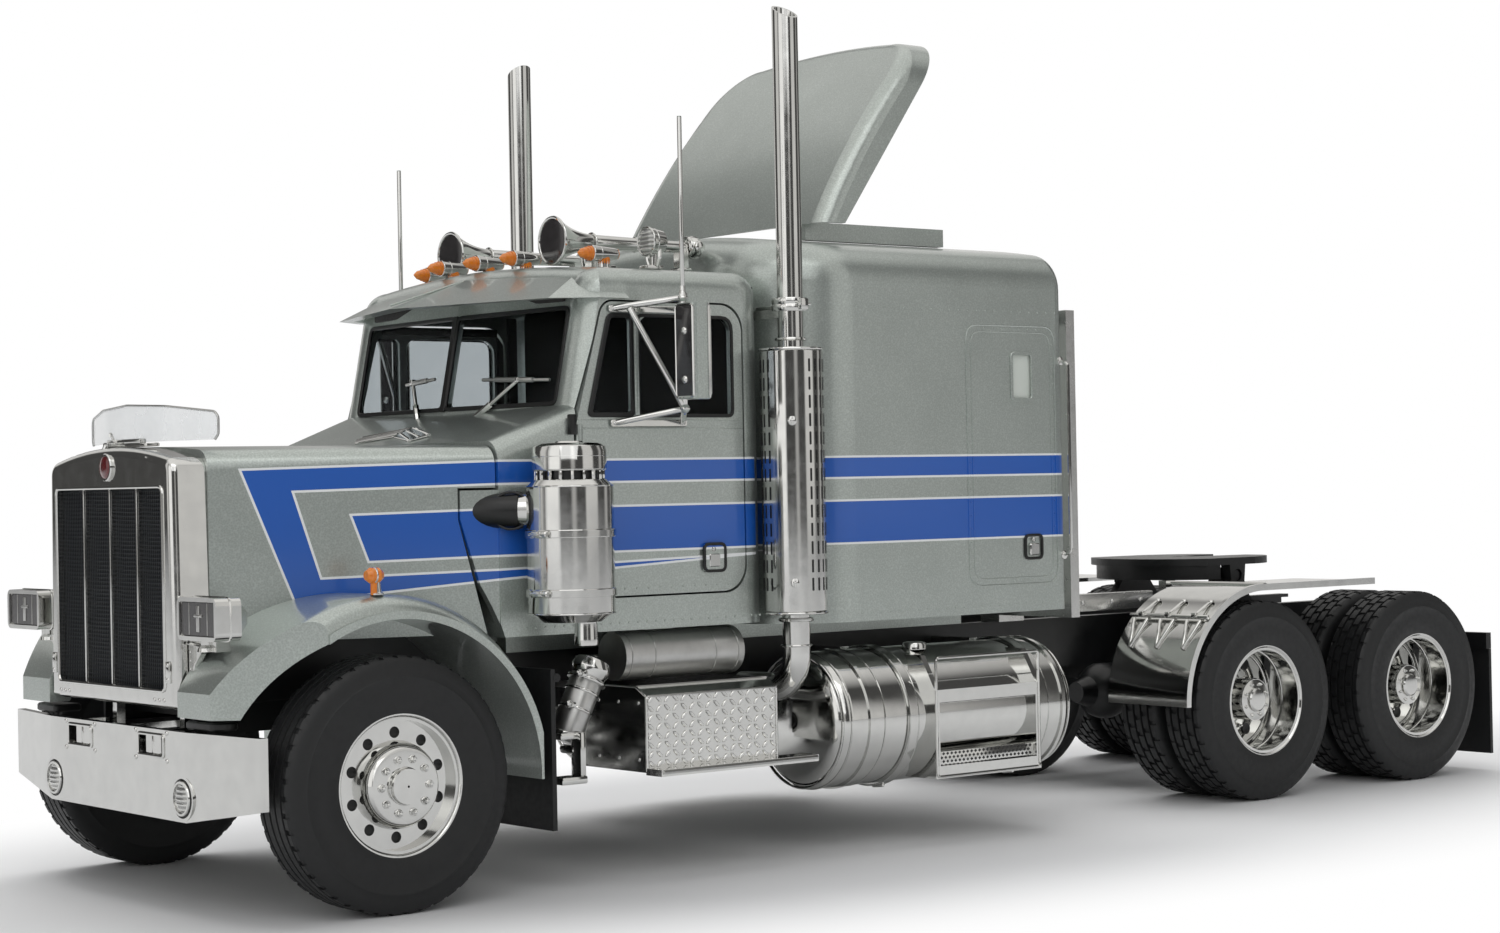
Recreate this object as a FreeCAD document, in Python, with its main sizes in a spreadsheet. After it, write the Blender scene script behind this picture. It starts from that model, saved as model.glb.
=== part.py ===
# Long-nose semi truck tractor unit with sleeper, as a 1:25 scale model. Millimetres.
# X points forward, Y to the left, Z up. The floor is Z = 0 and the middle of the
# overall length and width is the origin. Inside this file X is counted from the front axle.
import FreeCAD, Part
import math
import os
import types

import Sketcher

V = FreeCAD.Vector

SIZES = {
    # stance
    "wheelbase": 214.6, "tandem": 52.1,
    # tyres and rims
    "tyre_r": 21.2, "tyre_w": 11.2, "tyre_shoulder": 1.6, "tyre_bulge": 0.5,
    "rim_r": 11.6, "bead_fit": 0.1, "rim_t": 0.9, "rim_w": 9.4, "front_face_y": 47.7, "rear_face_y": 47.2,
    "dual_gap": 1.4, "disc_t": 1.2, "disc_sink": 1.6, "hub_r": 5.6, "hub_out": 1.4, "cap_r": 2.9,
    "cap_out": 2.6,
    "rear_hub_r": 4.4, "rear_hub_sink": 2.6, "bore_r": 1.4, "spindle_r": 1.25, "bore_end": 1.5,
    "hand_hole_r": 0.95, "hand_hole_at": 8.6,
    # chassis
    "rail_y": 17.3, "rail_w": 3.0, "rail_t": 0.8, "rail_top": 39.5, "rail_deep": 10.5, "rail_front": 21.2,
    "rail_rear": -296.0, "cross_t": 2.4, "cross_deep": 6.0,
    "bumper_x": 27.4, "bumper_t": 1.5, "bumper_bend_y": 25.8, "bumper_end_y": 46.0, "bumper_end_back": 2.7,
    "bumper_top": 30.5, "bumper_bottom": 15.7, "bumper_end_rise": 3.1, "tow_y": 13.6, "tow_w": 9.2,
    "tow_low": 26.0, "tow_high": 29.6, "fog_y": 24.4, "fog_z": 19.6, "fog_r": 3.1, "fog_deep": 2.6,
    # front axle and steering
    "king_y": 37.0, "king_r": 1.3, "king_fit": 0.15, "beam_w": 3.2, "beam_t": 2.6, "beam_drop": 4.2,
    "fork_gap": 6.0,
    "spring_w": 2.6, "spring_front": 19.0, "spring_rear": -31.0, "spring_t": 1.1, "arm_back": 9.0,
    "arm_in": 3.2,
    "tie_r": 0.75, "tie_drop": 3.4,
    # rear axles
    "axle_r": 2.3, "diff_r": 6.4, "diff_w": 9.0, "rear_beam_y": 20.3, "rear_beam_w": 2.6, "rear_beam_t": 3.2,
    # engine and radiator
    "engine_front": 8.0, "engine_rear": -24.6, "engine_half": 8.5, "engine_low": 29.0, "engine_high": 62.0,
    "radiator_x": 15.0, "radiator_t": 4.0, "radiator_half": 20.0, "radiator_low": 39.8, "radiator_high": 71.5,
    # cab
    "cab_half": 40.0, "cab_low": 43.8, "cowl_x": -25.3, "cowl_top": 77.7, "cowl_round": 3.6,
    "screen_low_x": -39.6, "screen_low_z": 83.2, "screen_top_x": -43.4, "screen_top_z": 102.4,
    "screen_sweep": 1.9,
    "pillar_wide": 6.0, "pillar_deep": 1.8, "pillar_r": 6.0, "screen_edge": 1.0, "screen_round": 1.6,
    "roof_edge": 108.2, "roof_crown": 110.3, "roof_round": 4.6, "cab_rear": -85.5, "cab_corner": 6.0,
    "cab_wall": 1.5, "glass_t": 0.6, "glass_fit": 0.1,
    "door_front": -41.3, "door_rear": -79.6, "door_low": 49.6, "door_high": 102.6, "door_belt": 79.7,
    "door_lean": 6.4, "door_gap": 0.35, "door_corner": 5.0, "door_front_corner": 3.2, "hinge_r": 0.7,
    "hinge_long": 3.6,
    "hinge_top": 80.4, "hinge_bottom": 57.0,
    "win_low": 82.0, "win_high": 99.9, "vent_front": -44.6, "vent_lean": 4.6, "vent_rear": -54.3,
    "win_front": -55.6,
    "win_rear": -76.9, "win_round": 1.4, "win_rear_round": 2.8,
    "handle_front": -69.4, "handle_rear": -74.2, "handle_low": 53.7, "handle_high": 58.6, "handle_t": 0.5,
    "mirror_x": -60.2, "mirror_out": 10.2, "mirror_half": 2.8, "mirror_t": 3.8, "mirror_low": 84.6,
    "mirror_high": 101.6,
    "mirror_round": 0.9, "mirror_arm_x": -49.4, "mirror_arm_rear": -65.6, "mirror_arm_r": 0.5,
    "mirror_arm_low": 80.6, "mirror_arm_high": 101.0, "mirror_joint_low": 83.0, "mirror_joint_high": 102.7,
    "mirror_pad_t": 0.5, "aerial_r": 0.4, "aerial_top": 135.0,
    "visor_tip_x": -28.4, "visor_side_x": -39.0, "visor_side_in": 3.8, "visor_end_x": -53.0, "visor_out": 1.3,
    "visor_low": 102.8, "visor_high": 108.6, "visor_top_x": -45.0, "visor_top_back": 4.6, "visor_top_in": 8.6,
    "visor_end_in": 5.6, "visor_wrap_x": -46.6, "visor_t": 0.8,
    "seat_x": -66.0, "seat_half": 8.0, "seat_y": 17.0, "seat_deep": 15.0, "seat_z": 58.0, "seat_t": 5.0,
    "seat_back_top": 82.0, "dash_deep": 10.0, "dash_high": 80.0, "dash_low": 66.0, "dash_side": 4.5,
    "steer_wheel_r": 7.6,
    # sleeper
    "sleeper_half": 43.0, "sleeper_front": -87.0, "sleeper_rear": -160.5, "sleeper_low": 43.0,
    "sleeper_seam": 103.9,
    "sleeper_front_corner": 17.0, "sleeper_rear_corner": 2.5, "sleeper_wall": 1.5, "sleeper_top": 118.0,
    "sleeper_edge": 113.6, "sleeper_round": 7.6,
    "port_front": -145.2, "port_rear": -151.2, "port_low": 85.0, "port_high": 94.5, "port_round": 1.2,
    # roof fittings
    "fairing_low_x": -106.6, "fairing_low_half": 32.6, "fairing_gap": 1.6, "fairing_top_x": -136.0,
    "fairing_rise": 38.4, "fairing_top_half": 20.5, "fairing_corner_drop": 10.0, "fairing_corner_half": 31.2,
    "fairing_corner_r": 10.4, "fairing_crown_r": 190.0, "fairing_bow_r": 170.0, "fairing_deep": 5.0,
    "fairing_round": 3.2,
    "fairing_t": 1.1, "stay_front": -110.5, "stay_rear": -118.4, "stay_rise": 5.4, "stay_w": 1.6,
    "fairing_rail_y": 25.5, "fairing_rail_rear": -143.0, "fairing_rail_t": 1.0,
    "horn_y": 17.4, "horn_x": -53.2, "horn_rise": 4.7, "horn_mouth_r": 4.5, "horn_throat_r": 1.0,
    "horn_rear_x": -86.0,
    "horn_flare": 10.0, "horn_flare_r": 17.0, "horn_ball_r": 2.0, "horn_foot_w": 2.0,
    "beacon_r": 1.4, "beacon_nose": 3.2, "beacon_long": 5.6, "beacon_x": -47.8, "beacon_side_x": -54.4,
    "beacon_y": 12.4, "beacon_side_y": 28.0, "beacon_foot": 1.6,
    "spot_x": -66.5, "spot_y": 28.5, "spot_rise": 4.2, "spot_r": 2.7, "spot_long": 3.2, "spot_back_r": 1.0,
    # exhaust
    "stack_x": -87.9, "stack_out": 3.9, "stack_r": 2.4, "stack_wall": 0.45, "stack_top": 159.5,
    "stack_slant": 4.2,
    "shield_r": 5.9, "shield_low": 45.2, "shield_high": 94.4, "stack_low_r": 2.6, "stack_bend_z": 38.0,
    "stack_bend_r": 6.5, "stack_in_y": 28.0, "shield_wall": 0.7, "collar_r": 3.1, "collar_z": 101.6,
    "collar_high": 1.6,
    # air cleaners
    "cleaner_x": -34.3, "cleaner_out": 8.4, "cleaner_r": 7.5, "cleaner_low": 46.4, "cleaner_high": 70.7,
    "cleaner_band": 0.35, "cleaner_band_w": 1.1, "cleaner_band_top": 61.0, "cleaner_band_low": 50.9,
    "cleaner_rim": 1.2,
    "cleaner_neck_r": 5.0, "cleaner_cap_low": 72.4, "cleaner_cap_high": 77.0, "cleaner_cap_r": 6.3,
    "cleaner_out_r": 1.9, "cleaner_out_low": 42.2, "cleaner_out_x": -37.2, "intake_r": 2.8,
    "intake_z": 65.6, "intake_x": -20.5, "intake_y": 33.0,
    # tanks and boxes
    "tank_y": 35.3, "tank_z": 24.4, "tank_r": 13.0, "tank_front": -93.5, "tank_rear": -156.5,
    "tank_dome": 1.5, "tank_round": 3.4, "tank_rim": 0.9, "tank_rim_in": 9.0,
    "tank_rim_out": 0.35,
    "strap_w": 2.2, "strap_t": 0.5, "strap_a": -112.5, "strap_b": -147.0, "tank_step_front": -117.0,
    "tank_step_rear": -145.0, "tank_step_low": 12.6, "tank_step_high": 36.0, "tank_step_t": 1.2,
    "tank_step_out": 49.6,
    "box_front": -52.0, "box_rear": -82.0, "box_low": 18.8, "box_high": 33.8, "box_in": 22.0,
    "box_out": 45.0, "box_slope": 3.0,
    "step_out": 49.5, "step_t": 1.2, "step_z": 19.6, "step_rear": -88.0,
    "air_tank_r": 4.4, "air_tank_z": 38.9, "air_tank_y": 34.0, "air_tank_front": -53.0,
    "air_tank_rear": -80.0,
    "canister_r": 2.3, "canister_top_x": -44.0, "canister_top_z": 37.5, "canister_low_x": -38.0,
    "canister_low_z": 25.5,
    "canister_y": 40.0,
    # rear deck
    "rack_x": -165.4, "rack_half": 41.0, "rack_post": 2.6, "rack_low": 41.0, "rack_high": 103.5,
    "rack_t": 2.4,
    "fifth_x": -240.0, "fifth_half": 18.2, "fifth_long": 36.0, "fifth_t": 1.6, "fifth_z": 50.6,
    "fifth_skirt": 3.2, "fifth_skirt_t": 1.1, "fifth_skirt_in": 0.9, "fifth_nose": 8.1, "fifth_tail": 12.0,
    "fifth_lobe": 9.6,
    "fifth_pivot_z": 46.6, "fifth_pin_r": 1.2, "fifth_pin_fit": 0.2, "fifth_lug_y": 15.2, "fifth_lug_t": 2.0,
    "kingpin_r": 1.1, "throat_half": 5.0, "fifth_base_half": 9.0,
    "quarter_r": 23.4, "quarter_t": 0.9, "quarter_in": 24.6, "quarter_out": 47.4, "quarter_rear": -252.0,
    "quarter_lip": 0.5, "quarter_lip_w": 0.9,
    "flap_x": -294.6, "flap_t": 0.9, "flap_in": 26.0, "flap_out": 46.8, "flap_low": 3.8, "flap_high": 28.0,
    "hanger_t": 1.8, "hanger_high": 31.7,
    "front_flap_x": -31.2, "front_flap_in": 31.0, "front_flap_out": 47.4, "front_flap_low": 10.8,
    "front_flap_high": 38.4,
    # hood, fenders and nose
    "hood_front": 21.5, "hood_front_half": 24.0, "hood_inset": 0.4, "hood_low": 44.6, "hood_ledge": 69.6,
    "hood_cut_x": -18.6, "hood_cut_z": 64.2, "hood_cut_low_x": -24.3, "hood_round": 3.4,
    "hood_edge_z": 76.9, "hood_crown": 77.7, "hood_wall": 1.2, "hood_gap": 0.4,
    "arch_r": 27.2, "arch_x": -0.3, "fender_r": 31.2, "fender_x": 1.2, "fender_y_out": 47.9,
    "fender_y_in": 24.6,
    "fender_round": 3.4, "fender_lip": 1.3, "fender_lip_out": 0.5,
    "fender_end_z": 20.0, "fender_front_z": 33.0, "fender_nose_back": 15.0, "fender_nose_in": 12.0,
    "fender_rear_x": -28.0,
    "shell_x": 28.0, "shell_half": 24.1, "shell_top_half": 23.4, "shell_low": 34.0, "shell_corner_z": 75.2,
    "shell_crown": 77.7, "shell_round": 1.6, "open_half": 20.4, "open_low": 37.0, "open_high": 70.8,
    "bar_t": 0.5,
    "bar_pitch": 10.2, "screen_t": 0.6, "screen_back": 1.4, "shell_corner_r": 2.6,
    "lamp_x": 28.9, "lamp_y": 33.4, "lamp_z": 49.3, "lamp_half_w": 6.7, "lamp_h": 7.0, "lamp_deep": 7.0,
    "lamp_round": 1.3, "lamp_bezel": 0.7, "lamp_arm_t": 2.0, "lamp_back": 2.4, "lamp_sink": 0.5,
    "marker_x": 2.8, "marker_y": 45.2, "marker_r": 1.3,
    "marker_long": 3.0, "marker_z": 55.6, "marker_stalk_r": 0.6,
    "bug_x": 24.4, "bug_half": 24.0, "bug_low": 78.2, "bug_high": 85.0, "bug_side_high": 83.2, "bug_t": 0.8,
    "bug_sweep": 5.0,
    "bug_round": 1.6,
    "hood_hinge_x": 24.4, "hood_hinge_z": 27.0, "hood_arm_t": 1.6, "hood_arm_y": 12.0, "hood_arm_back": 3.2,
    "hood_arm_w": 1.6, "hood_eye_r": 1.3, "hood_pin_r": 0.7, "hood_pin_fit": 0.15,
    # how far cutters run past, the gap at a seat, the least gap, and the reach of a test that picks edges
    "overrun": 5.0, "seat_gap": 0.3, "slip": 0.05, "pick_gap": 0.5,
}
straight_share, rim_share = 0.999, 0.05

doc = FreeCAD.newDocument("TractorUnit")
sheet = doc.addObject("Spreadsheet::Sheet", "Sizes")
for row, (word, number) in enumerate(SIZES.items(), 1):
    sheet.set(f"A{row}", word)
    sheet.set(f"B{row}", repr(number))
    sheet.setAlias(f"B{row}", word)
doc.recompute()


class Dim:
    """A size that carries its number and the sheet expression that gives it."""

    def __init__(self, value, text):
        self.value = value
        self.text = text

    def __add__(self, other):
        other = dim(other)
        return Dim(self.value + other.value, f"({self.text} + {other.text})")

    def __sub__(self, other):
        other = dim(other)
        return Dim(self.value - other.value, f"({self.text} - {other.text})")

    def __rsub__(self, other):
        return dim(other) - self

    def __mul__(self, other):
        other = dim(other)
        return Dim(self.value * other.value, f"({self.text} * {other.text})")

    def __truediv__(self, other):
        other = dim(other)
        return Dim(self.value / other.value, f"({self.text} / {other.text})")

    def __neg__(self):
        return Dim(-self.value, f"(0 - {self.text})")

    def __float__(self):
        return float(self.value)

    __radd__ = __add__
    __rmul__ = __mul__


def dim(size):
    return size if isinstance(size, Dim) else Dim(size, repr(size))


def root(square):
    """Square root of a product of two sizes."""
    return Dim(math.sqrt(square.value), f"sqrt({square.text})")


D = types.SimpleNamespace(**{word: Dim(sheet.get(word), f"Sizes.{word}") for word in SIZES})
ZERO = dim(0.0)
MIDDLE = (D.lamp_x + D.rail_rear) / 2
rear_x = -D.wheelbase
last_x = -D.wheelbase - D.tandem

TURNS = {"x": FreeCAD.Rotation(V(0, 1, 0), 90), "y": FreeCAD.Rotation(V(1, 0, 0), -90),
         "z": FreeCAD.Rotation()}
PLANES = {"x": "YZ_Plane", "y": "XZ_Plane", "z": "XY_Plane"}
seats = {}
nodes = []


def bind(obj, prop, size):
    obj.setExpression(prop, dim(size).text)


def place(obj, x=ZERO, y=ZERO, z=ZERO):
    """Puts an object at a point given in sizes."""
    seats[obj.Name] = dim(x)
    for axis, size in zip("xyz", (x, y, z)):
        bind(obj, f"Placement.Base.{axis}", size)
    return obj


def box(name, x, y, z):
    """A block between a low and a high value on each axis."""
    obj = doc.addObject("Part::Box", name)
    for prop, (low, high) in (("Length", x), ("Width", y), ("Height", z)):
        bind(obj, prop, dim(high) - low)
    return place(obj, x[0], y[0], z[0])


def rod(name, axis, radius, start, length):
    """A round bar along an axis, from its start point."""
    obj = doc.addObject("Part::Cylinder", name)
    bind(obj, "Radius", radius)
    bind(obj, "Height", length)
    obj.Placement = FreeCAD.Placement(V(), TURNS[axis])
    return place(obj, *start)


def ball(name, radius, centre):
    obj = doc.addObject("Part::Sphere", name)
    bind(obj, "Radius", radius)
    return place(obj, *centre)


def strut(name, radius, start, end):
    """A round bar from one point to another."""
    run = [dim(b) - a for a, b in zip(start, end)]
    obj = doc.addObject("Part::Cylinder", name)
    bind(obj, "Radius", radius)
    bind(obj, "Height", root(run[0] * run[0] + run[1] * run[1] + run[2] * run[2]))
    turn = FreeCAD.Rotation(V(0, 0, 1), V(*[float(r) for r in run]))
    obj.Placement = FreeCAD.Placement(V(), turn)
    return place(obj, *start)


def cone(name, axis, low_radius, high_radius, start, length):
    obj = doc.addObject("Part::Cone", name)
    bind(obj, "Radius1", low_radius)
    bind(obj, "Radius2", high_radius)
    bind(obj, "Height", length)
    obj.Placement = FreeCAD.Placement(V(), TURNS[axis])
    return place(obj, *start)


def new_body(name):
    return doc.addObject("PartDesign::Body", name)


def sketch(body, axis, corners, level, rounds=()):
    """A closed outline square to an axis. A corner with a third value starts an arc of that radius, which
    turns left where it is positive. Rounds are whole circles, as (centre, radius)."""
    sk = body.newObject("Sketcher::SketchObject", body.Name + "Outline")
    plane = next(f for f in body.Origin.OriginFeatures if f.Role == PLANES[axis])
    sk.AttachmentSupport = [(plane, "")]
    sk.MapMode = "FlatFace"
    bind(sk, "AttachmentOffset.Base.z", -dim(level) if axis == "y" else level)
    count = len(corners)
    ends = []
    for i in range(count):
        a, b = corners[i], corners[(i + 1) % count]
        start, end = V(float(a[0]), float(a[1]), 0), V(float(b[0]), float(b[1]), 0)
        if len(a) == 2:
            sk.addGeometry(Part.LineSegment(start, end), False)
            ends.append((1, 2))
            continue
        radius = float(a[2])
        half = (end - start) * 0.5
        side = V(-half.y, half.x, 0).normalize() * math.copysign(1, radius)
        centre = start + half + side * math.sqrt(radius * radius - half.Length * half.Length)
        first, last = (start, end) if radius > 0 else (end, start)
        angles = [math.atan2(p.y - centre.y, p.x - centre.x) for p in (first, last)]
        sk.addGeometry(Part.ArcOfCircle(Part.Circle(centre, V(0, 0, 1), abs(radius)), *angles), False)
        ends.append((1, 2) if radius > 0 else (2, 1))
    for i in range(count):
        j = (i + 1) % count
        sk.addConstraint(Sketcher.Constraint("Coincident", i, ends[i][1], j, ends[j][0]))
    for i, corner in enumerate(corners):
        if len(corner) == 3:
            size = dim(corner[2]) if float(corner[2]) > 0 else -dim(corner[2])
            hold = sk.addConstraint(Sketcher.Constraint("Radius", i, float(size)))
            bind(sk, f"Constraints[{hold}]", size)
    holds = [(i, ends[i][0], corners[i]) for i in range(count)]
    for centre, radius in rounds:
        circle = Part.Circle(V(float(centre[0]), float(centre[1]), 0), V(0, 0, 1), float(radius))
        index = sk.addGeometry(circle, False)
        hold = sk.addConstraint(Sketcher.Constraint("Radius", index, float(radius)))
        bind(sk, f"Constraints[{hold}]", radius)
        holds.append((index, 3, centre))
    for index, end, point in holds:
        for kind, size in (("DistanceX", point[0]), ("DistanceY", point[1])):
            hold = sk.addConstraint(Sketcher.Constraint(kind, -1, 1, index, end, float(size)))
            bind(sk, f"Constraints[{hold}]", size)
    return sk


def bow(half, rise):
    """Radius of an arc over a chord of twice half that rises by rise."""
    return (half * half + rise * rise) / (rise * 2)


def pad(name, axis, corners, low, high, body=None, rounds=()):
    """A prism of an outline between two levels on an axis."""
    body = body or new_body(name)
    sk = sketch(body, axis, corners, high if axis == "y" else low, rounds)
    feature = body.newObject("PartDesign::Pad", name + "Pad")
    feature.Profile = sk
    bind(feature, "Length", dim(high) - low)
    body.Tip = feature
    return body


def pocket(body, name, axis, corners, low, high, rounds=()):
    """Cuts an outline out of a body between two levels on an axis."""
    doc.recompute()
    before = body.Shape.Volume
    sk = sketch(body, axis, corners, low if axis == "y" else high, rounds)
    feature = body.newObject("PartDesign::Pocket", name + "Pocket")
    feature.Profile = sk
    bind(feature, "Length", dim(high) - low)
    body.Tip = feature
    doc.recompute()
    if not body.Shape.Volume < before:
        raise RuntimeError(f"{name}: the pocket removed nothing")
    return body


def prism(name, axis, corners, low, high, radius, pick=None):
    """A prism whose corners, or the picked ones, are rounded."""
    body = pad(name, axis, corners, low, high)
    return soften(body, name + "Corner", radius, lambda e: along(e, axis) and (pick is None or pick(e)))


def turned(name, axis, profile, at=(ZERO, ZERO, ZERO)):
    """A solid of revolution; the profile gives (along the axis, radius) pairs."""
    body = new_body(name)
    plane = "x" if axis == "y" else "y"
    corners = [(row[1], row[0], *[-dim(r) for r in row[2:]]) for row in profile] if axis == "z" else profile
    sk = sketch(body, plane, corners, ZERO)
    feature = body.newObject("PartDesign::Revolution", name + "Turn")
    feature.Profile = sk
    feature.ReferenceAxis = (sk, ["V_Axis" if axis == "z" else "H_Axis"])
    feature.Angle = 360
    body.Tip = feature
    return place(body, *at)


def loft(name, axis, sections, body=None, ruled=True):
    """A solid through outlines at successive levels on an axis."""
    body = body or new_body(name)
    sketches = [sketch(body, axis, corners, level) for level, corners in sections]
    feature = body.newObject("PartDesign::AdditiveLoft", name + "Loft")
    feature.Profile = sketches[0]
    feature.Sections = sketches[1:]
    feature.Ruled = ruled
    body.Tip = feature
    return body


def soften(body, name, radius, pick):
    """Rounds the edges of a body that a test picks."""
    doc.recompute()
    base = body.Tip
    picked = [f"Edge{i}" for i, edge in enumerate(base.Shape.Edges, 1) if pick(edge)]
    if not picked:
        raise RuntimeError(f"{name}: no edge to round")
    feature = body.newObject("PartDesign::Fillet", name + "Round")
    feature.Base = (base, picked)
    bind(feature, "Radius", radius)
    body.Tip = feature
    return body


def along(edge, axis):
    """True for a straight edge parallel to an axis."""
    if len(edge.Vertexes) != 2 or edge.Curve.TypeId != "Part::GeomLine":
        return False
    run = edge.Vertexes[1].Point - edge.Vertexes[0].Point
    return abs(getattr(run.normalize(), axis)) > straight_share


def fuse(name, *shapes):
    obj = doc.addObject("Part::MultiFuse", name)
    obj.Shapes = list(shapes)
    return obj


def cut(name, base, *tools):
    obj = doc.addObject("Part::Cut", name)
    obj.Base = base
    obj.Tool = tools[0] if len(tools) == 1 else fuse(name + "Tools", *tools)
    return obj


def common(name, first, second):
    obj = doc.addObject("Part::MultiCommon", name)
    obj.Shapes = [first, second]
    return obj


def mirror(source):
    """The same piece on the other side of the vehicle."""
    obj = doc.addObject("Part::Mirroring", source.Name + "Far")
    obj.Source = source
    obj.Normal = V(0, 1, 0)
    return obj


def pair(*shapes):
    """Each piece and its mirror image."""
    return [piece for shape in shapes for piece in (shape, mirror(shape))]


def node(label, *shapes):
    """Names a finished sub-part and moves it into the model's frame."""
    if len(shapes) == 1 and shapes[0].TypeId != "Part::Mirroring":
        obj = shapes[0]
    else:
        obj = doc.addObject("Part::Compound", "set_" + label)
        obj.Links = list(shapes)
    obj.Label = label
    bind(obj, "Placement.Base.x", seats.get(obj.Name, ZERO) - MIDDLE)
    nodes.append(obj)
    return obj


def both(low, high):
    """A range centred on the middle plane."""
    return (-dim(high), dim(high)) if low is None else (dim(low), dim(high))


# Wheels: one tyre outline and two rim outlines, turned about Y, outer face at Y = 0.
def tyre(name, face_y, x):
    bead = D.rim_r + D.bead_fit
    high = D.tyre_r
    half = D.tyre_w / 2
    mid_y = face_y - D.rim_w / 2
    rows = [(-half + D.tyre_bulge, bead), (half - D.tyre_bulge, bead), (half, (bead + high) / 2),
            (half - D.tyre_bulge, high - D.tyre_shoulder), (half - D.tyre_shoulder, high),
            (-half + D.tyre_shoulder, high), (-half + D.tyre_bulge, high - D.tyre_shoulder),
            (-half, (bead + high) / 2)]
    return turned(name, "y", rows, (x, mid_y, D.tyre_r))


def hand_holes(body, name, count, low, high):
    """A ring of round holes through the disc."""
    pocket(body, name, "y", [], low, high, [((ZERO, D.hand_hole_at), D.hand_hole_r)])
    first = body.Tip
    feature = body.newObject("PartDesign::PolarPattern", name + "Ring")
    feature.Originals = [first]
    axis = next(f for f in body.Origin.OriginFeatures if f.Role == "Y_Axis")
    feature.Axis = (axis, [""])
    feature.Angle = 360
    feature.Occurrences = count
    body.Tip = feature
    return body


def front_rim(name):
    inner = D.rim_r - D.rim_t
    disc = -D.disc_sink
    back = disc - D.disc_t
    rows = [(-D.rim_w, D.rim_r), (ZERO, D.rim_r), (ZERO, inner), (disc, inner), (disc, D.hub_r), (D.hub_out,
                                                                                                  D.hub_r),
            (D.hub_out, D.cap_r), (D.cap_out, D.cap_r), (D.cap_out, ZERO), (-D.bore_end + D.hub_out, ZERO),
            (-D.bore_end + D.hub_out, D.bore_r), (back, D.bore_r), (back, inner), (-D.rim_w, inner)]
    body = turned(name, "y", rows, (ZERO, D.front_face_y, D.tyre_r))
    return hand_holes(body, name + "Holes", 10, back - D.disc_t, disc + D.disc_t)


def rear_rim(name, x):
    inner = D.rim_r - D.rim_t
    pitch = D.tyre_w + D.dual_gap
    disc = -(D.rim_w + pitch) / 2 + D.disc_t / 2
    back = disc - D.disc_t
    end = -D.rim_w - pitch
    hub = -D.rear_hub_sink
    rows = [(end, D.rim_r), (ZERO, D.rim_r), (ZERO, inner), (disc, inner), (disc, D.rear_hub_r),
            (hub, D.rear_hub_r),
            (hub, ZERO), (hub - D.bore_end, ZERO), (hub - D.bore_end, D.bore_r), (back, D.bore_r),
            (back, inner),
            (end, inner)]
    body = turned(name, "y", rows, (x, D.rear_face_y, D.tyre_r))
    return hand_holes(body, name + "Holes", 10, back - D.disc_t, disc + D.disc_t)


def one_side(label, shape, left):
    """Hands a left piece in as it is, and its mirror image for the right."""
    node(label, shape if left else mirror(shape))


for left, side in ((True, "left"), (False, "right")):
    one_side(f"tyre_front_{side}", tyre(f"FrontTyre{side}", D.front_face_y, ZERO), left)
    one_side(f"rim_front_{side}", front_rim(f"FrontRim{side}"), left)
    for spot, x in (("mid", rear_x), ("rear", last_x)):
        outer = tyre(f"OuterTyre{spot}{side}", D.rear_face_y, x)
        inner = tyre(f"InnerTyre{spot}{side}", D.rear_face_y - D.tyre_w - D.dual_gap, x)
        if left:
            node(f"tyres_{spot}_{side}", outer, inner)
        else:
            node(f"tyres_{spot}_{side}", mirror(outer), mirror(inner))
        one_side(f"rim_{spot}_{side}", rear_rim(f"RearRim{spot}{side}", x), left)

# Frame: two channel rails joined by cross members, with the flap hangers at the end.
rail_low = D.rail_top - D.rail_deep
channel = [(D.rail_y, rail_low), (D.rail_y, D.rail_top), (D.rail_y - D.rail_w, D.rail_top),
           (D.rail_y - D.rail_w, D.rail_top - D.rail_t), (D.rail_y - D.rail_t, D.rail_top - D.rail_t),
           (D.rail_y - D.rail_t, rail_low + D.rail_t), (D.rail_y - D.rail_w, rail_low + D.rail_t),
           (D.rail_y - D.rail_w, rail_low)]
rail = pad("Rail", "x", channel, D.rail_rear, D.rail_front)
cross_shares = [0.02, 0.2, 0.4, 0.6, 0.76, 0.98]
crosses = []
for i, share in enumerate(cross_shares):
    x = D.rail_front + (D.rail_rear - D.rail_front) * share
    mid = (D.rail_top + rail_low) / 2
    crosses.append(box(f"Cross{i}", (x - D.cross_t / 2, x + D.cross_t / 2),
                       (-D.rail_y + D.rail_t / 2, D.rail_y - D.rail_t / 2),
                       (mid - D.cross_deep / 2, mid + D.cross_deep / 2)))
hanger = box("Hanger", (D.flap_x, D.flap_x + D.hanger_t), (D.rail_y - D.rail_t / 2, D.flap_out),
             (D.flap_high, D.hanger_high))
node("frame_rails", fuse("Ladder", rail, mirror(rail), *crosses, hanger, mirror(hanger)))

# Front bumper: a plate with swept ends, two tow windows and two round lamp pans.
end_x = D.bumper_x - D.bumper_end_back
bar = [(D.bumper_x, -D.bumper_bend_y), (D.bumper_x, D.bumper_bend_y), (end_x, D.bumper_end_y),
       (end_x - D.bumper_t, D.bumper_end_y), (D.bumper_x - D.bumper_t, D.bumper_bend_y),
       (D.bumper_x - D.bumper_t, -D.bumper_bend_y), (end_x - D.bumper_t, -D.bumper_end_y),
       (end_x, -D.bumper_end_y)]
bumper = pad("BumperBar", "z", bar, D.bumper_bottom, D.bumper_top)
corner = [(D.bumper_bend_y, D.bumper_bottom), (D.bumper_end_y + D.overrun, D.bumper_bottom),
          (D.bumper_end_y + D.overrun, D.bumper_bottom + D.bumper_end_rise),
          (D.bumper_end_y, D.bumper_bottom + D.bumper_end_rise)]
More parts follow.
